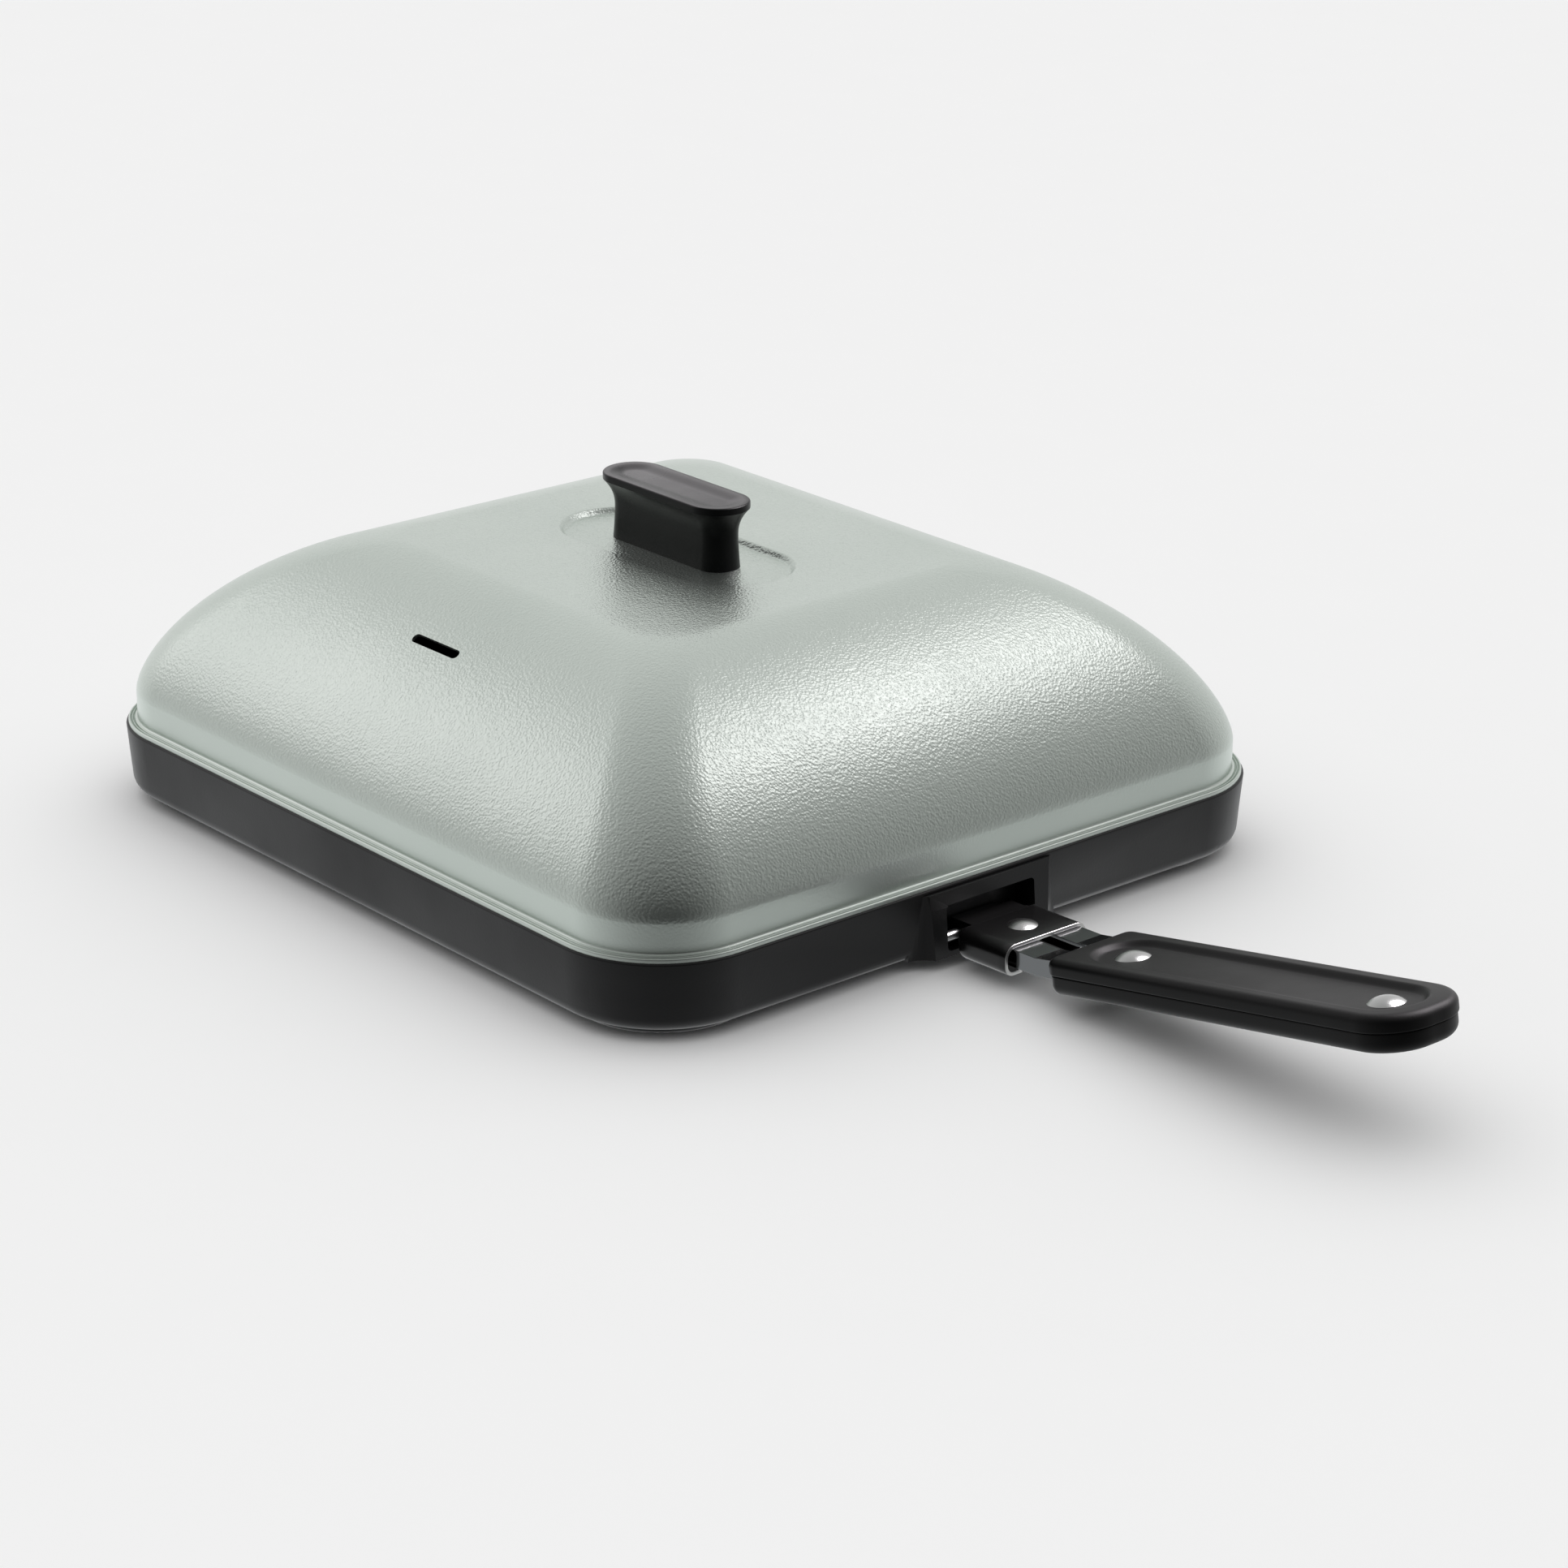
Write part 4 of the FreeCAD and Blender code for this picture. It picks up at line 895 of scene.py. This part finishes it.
@dataclass
class Grip:
    """Two mouldings that meet along a joint line, with a long dish on top for the rivet heads."""

    plastic: bpy.types.Material
    placing: Placing
    length: float = 138.5 * MM
    half: float = 18.0 * MM
    heel: float = 4.0 * MM
    tip: float = 15.5 * MM
    upper: float = 5.2 * MM
    lower: float = 6.4 * MM
    top_round: float = 2.6 * MM
    bottom_round: float = 4.0 * MM
    seam: float = 0.6 * MM
    step_in: float = 0.5 * MM
    dish_half: float = 12.8 * MM
    dish_depth: float = 1.7 * MM
    dish_slope: float = 3.0 * MM
    rivets: tuple[float, float] = (19.5 * MM, 119.5 * MM)
    seat_radius: float = 6.3 * MM       # sunk seats of the rivet washers, below
    seat_depth: float = 1.5 * MM
    hole_radius: float = 2.6 * MM
    least_round: float = 0.3 * MM
    sharp_degrees: float = 40.0
    upper_steps: int = 7                # steps round each rounded edge
    lower_steps: int = 9
    slope_steps: int = 10
    flat_steps: int = 4

    def stack(self, inset: np.ndarray, level: np.ndarray) -> np.ndarray:
        """Rings of the bar's plan outline, each set in by its inset, placed along the grip.

        Args:
            inset: how far each ring lies inside the outline.
            level: level of each ring above the joint line.

        Returns:
            Array of rings by points by 3.
        """
        heel = np.maximum(self.heel - inset, self.least_round)
        tip = np.maximum(self.tip - inset, 0)
        return rings(self.length / 2 - inset, self.half - inset, heel, level, tip) + [self.length / 2, 0, 0]

    def upper_grid(self) -> np.ndarray:
        """Rings of the upper moulding: quarter-round edges, a flat rim, then the dish.

        Returns:
            Array of rings by points by 3.
        """
        turn = np.linspace(0, QUARTER, self.upper_steps + 1)
        seam_in = self.seam * (1 - np.sin(turn))
        seam_up = self.seam * (1 - np.cos(turn))
        edge_in = self.top_round * (1 - np.cos(turn))
        edge_up = self.upper - self.top_round * (1 - np.sin(turn))
        sides = self.stack(np.concatenate([seam_in, edge_in]), np.concatenate([seam_up, edge_up]))
        low = self.stack(np.array([self.half]), np.array([0.0]))
        middle = (self.rivets[0] + self.rivets[1]) / 2
        reach = (self.rivets[1] - self.rivets[0]) / 2 + self.dish_half
        step = np.linspace(0, 1, self.slope_steps + 1)
        floor = np.linspace(1, 0, self.flat_steps + 1)[1:]
        base = self.dish_half - self.dish_slope
        dish_y = np.concatenate([self.dish_half - self.dish_slope * step, base * floor])
        dish_z = self.upper - self.dish_depth * np.concatenate([smoothstep(step), np.ones_like(floor)])
        dish = rings(reach - self.dish_half + dish_y, dish_y, dish_y, dish_z) + [middle, 0, 0]
        share = np.linspace(0, 1, self.flat_steps + 1)[1:-1, None, None]
        flat = sides[-1:] * (1 - share) + dish[:1] * share
        return np.concatenate([low, sides, flat, dish])

    def lower_grid(self) -> np.ndarray:
        """Rings of the lower moulding, set in a little at the joint line and rounded below.

        Returns:
            Array of rings by points by 3.
        """
        turn = np.linspace(0, QUARTER, self.lower_steps + 1)
        round_low = self.bottom_round - self.step_in
        edge_in = self.step_in + round_low * (1 - np.sin(turn))
        edge_up = -self.lower + round_low * (1 - np.cos(turn))
        seam_in = self.step_in + self.seam * (1 - np.cos(turn))
        seam_up = -self.seam * (1 - np.sin(turn))
        inset = np.concatenate([[self.half], edge_in, seam_in, [self.half]])
        level = np.concatenate([[-self.lower], edge_up, seam_up, [0.0]])
        return self.stack(inset, level)

    def rivet_room(self, along: float) -> np.ndarray:
        """Stepped round cutter for a rivet: the washer's seat from below, then the hole to the joint line.

        Args:
            along: the rivet's distance from the grip's end.

        Returns:
            Rings of points, placed.
        """
        clear = 1.0 * MM
        start, seat = -self.lower - clear, -self.lower + self.seat_depth
        wide, narrow = self.seat_radius, self.hole_radius
        radius = np.array([TINY, wide, wide, narrow, narrow, TINY])
        level = np.array([start, start, seat, seat, clear, clear])
        return self.placing.in_grip(rings(radius, radius, radius, level) + [along, 0, 0])

    def build(self) -> None:
        """Makes both mouldings."""
        for name, grid in (("upper", self.upper_grid()), ("lower", self.lower_grid())):
            points, faces = self.placing.in_grip(grid), grid_faces(*grid.shape[:2])
            piece = new_piece(f"grip_{name}_moulding", points, faces, "grip", self.plastic,
                              self.sharp_degrees)
            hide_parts(f"grip_{name}")
            if name == "lower":
                for along in self.rivets:
                    cut_piece(piece, self.rivet_room(along), self.sharp_degrees)


# --- studio ---------------------------------------------------------------------------
@dataclass(frozen=True)
class Softbox:
    """A square area light that faces a spot on the pan and lights the pan alone."""

    name: str
    spot: tuple[float, float, float]
    towards: tuple[float, float, float]
    distance: float
    size: float
    watts: float
    pieces: tuple[str, ...] = ("",)     # it lights the pieces whose names start with one of these

    def build(self) -> None:
        """Makes the light and the collection of pieces that it lights."""
        lit = bpy.data.collections.new(f"lit_by_{self.name}")
        for piece in bpy.context.scene.objects:
            if piece.type == "MESH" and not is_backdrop(piece) and piece.name.startswith(self.pieces):
                lit.objects.link(piece)
        data = bpy.data.lights.new(self.name, "AREA")
        data.shape = "SQUARE"
        data.size = self.size
        data.energy = self.watts
        data.color = LAMP_COLOUR
        light = add_object(self.name, data)
        away = Vector(self.towards).normalized()
        light.location = Vector(self.spot) + away * self.distance
        light.rotation_euler = away.to_track_quat("Z", "Y").to_euler()
        light.light_linking.receiver_collection = lit


@dataclass
class Studio:
    """Plain floor, soft light and the camera."""

    azimuth: float = 49.37          # degrees; the camera stands this far round from -Y towards +X
    elevation: float = 20.952
    roll: float = 0.299
    distance: float = 1.37688
    aside: float = 35.384 * MM      # how far the aim lies right of the pan's rim centre, across the view
    above: float = -14.369 * MM
    lens: float = 95.63
    sensor: float = 36.0            # camera's width, in mm as the lens is
    reach: float = 60.0             # half width of the floor, in metres
    bright_side: tuple[float, float, float] = (-0.85, 0.53, 0.0)    # the surround is brightest here
    surround: float = 0.46          # mean brightness of the surround
    surround_slope: float = 0.455   # how much brighter the bright side is than the mean
    floor_glow: float = 0.28        # light that comes up from below the horizon
    floor_tint: str = "#F8FAFB"     # colour of that light
    glow_level: float = -0.4        # it is full where a direction's height is this or lower
    floor_fill: float = 1.38        # light from above that falls on the floor alone
    fill_spread: float = 120.0      # degrees across that light

    def camera(self) -> None:
        """Sets the camera on a sphere about the rim's centre, rolled, and slid across the view."""
        around, up_angle, roll = map(math.radians, (self.azimuth, self.elevation, self.roll))
        back = np.array([math.sin(around) * math.cos(up_angle), -math.cos(around) * math.cos(up_angle),
                         math.sin(up_angle)])
        right = np.array([math.cos(around), math.sin(around), 0])
        up = np.cross(back, right)
        across = math.cos(roll) * right + math.sin(roll) * up
        upward = math.cos(roll) * up - math.sin(roll) * right
        rim = np.array([0, 0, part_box("pan_body")[1].z])
        place = rim + back * self.distance + across * self.aside + upward * self.above
        data = bpy.data.cameras.new("studio_camera")
        data.lens = self.lens
        data.sensor_width = self.sensor
        camera = add_object("studio_camera", data)
        axes = np.column_stack([across, upward, back, place])
        camera.matrix_world = Matrix([*axes.tolist(), [0, 0, 0, 1]])
        bpy.context.scene.camera = camera

    def floor(self) -> None:
        """Lays a wide pale floor under the feet."""
        mesh = bpy.data.meshes.new("studio_floor")
        corners = np.array([(-1, -1, 0), (1, -1, 0), (1, 1, 0), (-1, 1, 0)]) * self.reach
        mesh.from_pydata(corners.tolist(), [], [(0, 1, 2, 3)])
        paper = Finish("studio_paper", "#FDFDFD", "#FCFCFC", roughness=0.9, roughness_spread=0.02,
                       grain_mm=2.0, grain_depth_mm=0.0)
        mesh.materials.append(paper.build())
        floor = add_object("studio_floor", mesh)
        floor.visible_diffuse = False
        floor.visible_glossy = False
        floor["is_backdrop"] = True

    def lights(self) -> None:
        """Hangs the softboxes, and a broad light for the floor alone."""
        small_pieces = ("knob", "sleeve", "guide", "handle", "hinge", "grip")
        for box in (
                Softbox("left_softbox", spot=(-0.09, -0.115, 0.065), towards=(-0.709, -0.42, 0.48),
                        distance=0.8, size=0.55, watts=0.55),
                Softbox("back_softbox", spot=(0.115, 0.02, 0.075), towards=(0.13, 0.608, 0.82),
                        distance=1.0, size=0.36, watts=0.85),
                Softbox("grip_softbox", spot=(0.225, 0.0, 0.05), towards=(0.12, 0.61, 0.78),
                        distance=1.0, size=0.7, watts=20.0, pieces=small_pieces),
                Softbox("knob_softbox", spot=(0.0, 0.0, 0.11), towards=(-0.72, 0.25, 0.6),
                        distance=1.0, size=0.8, watts=3.0, pieces=("knob",))):
            box.build()
        sun = bpy.data.lights.new("floor_fill", "SUN")
        sun.energy = self.floor_fill
        sun.angle = math.radians(self.fill_spread)
        lamp = add_object("floor_fill", sun)
        paper = bpy.data.collections.new("lit_by_floor_fill")
        paper.objects.link(bpy.data.objects["studio_floor"])
        lamp.light_linking.receiver_collection = paper

    def surrounds(self) -> None:
        """Sets a grey surround, brighter on one side and lifted a little from below."""
        world = bpy.data.worlds.new("studio_surround")
        bpy.context.scene.world = world
        world.use_nodes = True
        tree = world.node_tree
        background = tree.nodes["Background"].inputs
        way = add_node(tree, "ShaderNodeTexCoord").outputs["Generated"]
        side = add_node(tree, "ShaderNodeVectorMath", {
            0: way, 1: self.bright_side}, operation="DOT_PRODUCT")
        glow = add_node(tree, "ShaderNodeMapRange", {
            "Value": side.outputs["Value"], "From Min": -1.0, "From Max": 1.0,
            "To Min": self.surround - self.surround_slope, "To Max": self.surround + self.surround_slope})
        height = add_node(tree, "ShaderNodeSeparateXYZ", {"Vector": way}).outputs["Z"]
        lift, below = (add_node(tree, "ShaderNodeMapRange", {
            "Value": height, "From Min": self.glow_level, "From Max": 0.0,
            "To Min": full, "To Max": 0.0}).outputs["Result"] for full in (self.floor_glow, 1.0))
        total = add_node(tree, "ShaderNodeMath", {0: glow.outputs["Result"], 1: lift})
        tree.links.new(total.outputs["Value"], background["Strength"])
        tint = add_node(tree, "ShaderNodeMix", {
            "Factor": below, "A": linear("#FFFFFF"), "B": linear(self.floor_tint)}, data_type="RGBA")
        tree.links.new(tint.outputs["Result"], background["Color"])
        bpy.context.scene.view_settings.view_transform = "Standard"

    def build(self) -> None:
        """Sets up the whole studio."""
        self.camera()
        self.floor()
        self.lights()
        self.surrounds()


def finishes() -> dict[str, bpy.types.Material]:
    """Makes every finish of the object.

    Returns:
        The materials by short name.
    """
    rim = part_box("lid_shell")[0].z
    looks = {
        # Pale green-grey powder coat over aluminium sheet, with metal flake in it: a soft metallic sheen
        # that a fine pebble breaks up, smooth along the foot. The pebble is drawn a little coarser than
        # it is, so that it shows.
        "coat": PebbledCoat(
            "powder_coated_aluminium_pressed", "#D4DCD5", "#CDD6CF", metallic=0.9, roughness=0.33,
            roughness_spread=0.02, cloud_mm=60, grain_mm=0.85, grain_depth_mm=0.135,
            smooth_below=rim + 10 * MM, pebbled_above=rim + 24 * MM),
        # Non-stick coat over a cast wall: charcoal, satin, with the casting's faint unevenness.
        "casting": Finish("nonstick_coated_aluminium_cast", "#1A1A1B", "#161617", roughness=0.42, ior=1.42,
                          grain_mm=0.7, grain_depth_mm=0.03),
        # Moulded phenolic: the deepest black here, semi-gloss, with soft lights on its crown. Its IOR is
        # set below the real 1.6, so that its sides stay as dark.
        "resin": Finish("phenolic_resin_moulded", "#060707", "#090A0A", roughness=0.30, ior=1.27,
                        grain_mm=0.6, grain_depth_mm=0.02),
        # Glass-filled nylon from a spark-eroded mould: black and matt. Its 0.1 mm grain is drawn coarser,
        # and its IOR is set below the real 1.5, for the same reason.
        "nylon": Finish("glass_filled_nylon_moulded", "#080808", "#0B0B0B", roughness=0.46, ior=1.28,
                        grain_mm=0.5, grain_depth_mm=0.025),
        # Stoving lacquer on bent sheet: glossy black that shows long highlights down the bends.
        "lacquer": Finish("black_lacquered_steel_bent", "#0E0E0E", "#131313", roughness=0.24, ior=1.38,
                          grain_mm=1.5, grain_depth_mm=0.01),
        # The sleeve's front edge after shearing: bright, a little rough, with no lacquer on it.
        "bare": Finish("sheared_steel_edge", "#D2D2D0", "#BDBDBB", metallic=1.0, roughness=0.34,
                       grain_mm=0.35, grain_depth_mm=0.03),
        # Nickel plate on the steel washers and screws: mirror-like, with faint lines from the rolling.
        "nickel": Finish("nickel_plated_steel_rolled", "#A6A6A5", "#9B9B9A", metallic=1.0, roughness=0.14,
                         grain_mm=0.5, grain_depth_mm=0.005, stretch=(0.05, 1, 1)),
        # Chrome plate on the tang's channel: a mirror whose base colour is set darker than the nickel beside
        # it. That is painted shade, standing in for the dark surroundings it reflects.
        "chrome": Finish("chrome_plated_steel_drawn", "#77797A", "#6C6E70", metallic=1.0, roughness=0.16,
                         roughness_spread=0.04, grain_mm=0.5, grain_depth_mm=0.006,
                         stretch=(0.05, 1, 1)),
        # Upset aluminium: pale satin domes with one clear highlight.
        "rivet": Finish("aluminium_rivet_upset", "#B4B5B4", "#A6A7A6", metallic=1.0, roughness=0.27,
                        grain_mm=0.5, grain_depth_mm=0.01),
        # Turned brass inserts: yellow metal, seen only with the knob off.
        "brass": Finish("brass_turned", "#C9A55A", "#BF9A50", metallic=1.0, roughness=0.30,
                        grain_mm=0.3, grain_depth_mm=0.01),
        # Non-stick coat on pressed sheet: darker grey than the pan, satin and very even.
        "mould": Finish("nonstick_coated_steel_pressed", "#2E2E30", "#343436", roughness=0.38, grain_mm=0.7,
                        grain_depth_mm=0.02),
    }
    return {name: look.build() for name, look in looks.items()}


def main() -> None:
    """Builds the pieces, gives the CAD nodes that stay their finishes, then sets up the studio."""
    logging.basicConfig(level=logging.INFO, format="%(name)s: %(message)s")
    look = finishes()
    Lid(look["coat"]).build()
    Knob(look["resin"]).build()
    placing = Placing()
    Grip(look["nylon"], placing).build()
    smooth_copy("pan_body", "pan", look["casting"], edge_mm=0.35)
    Sleeve(look["lacquer"], look["bare"], placing).build()
    smooth_copy("handle_tang", "grip", look["chrome"], edge_mm=0.35)
    for node in frame["nodes"]:
        if node.startswith(("ring_cup", "mould_frame")):
            smooth_copy(node, "mould", look["mould"])
        elif "rivet" in node or node == "hinge_pin":
            dress(node, look["rivet"])
        elif "insert" in node:
            dress(node, look["brass"])
        elif "washer" in node or "screw" in node:
            dress(node, look["nickel"])
    Studio().build()


if __name__ == "__main__":
    main()
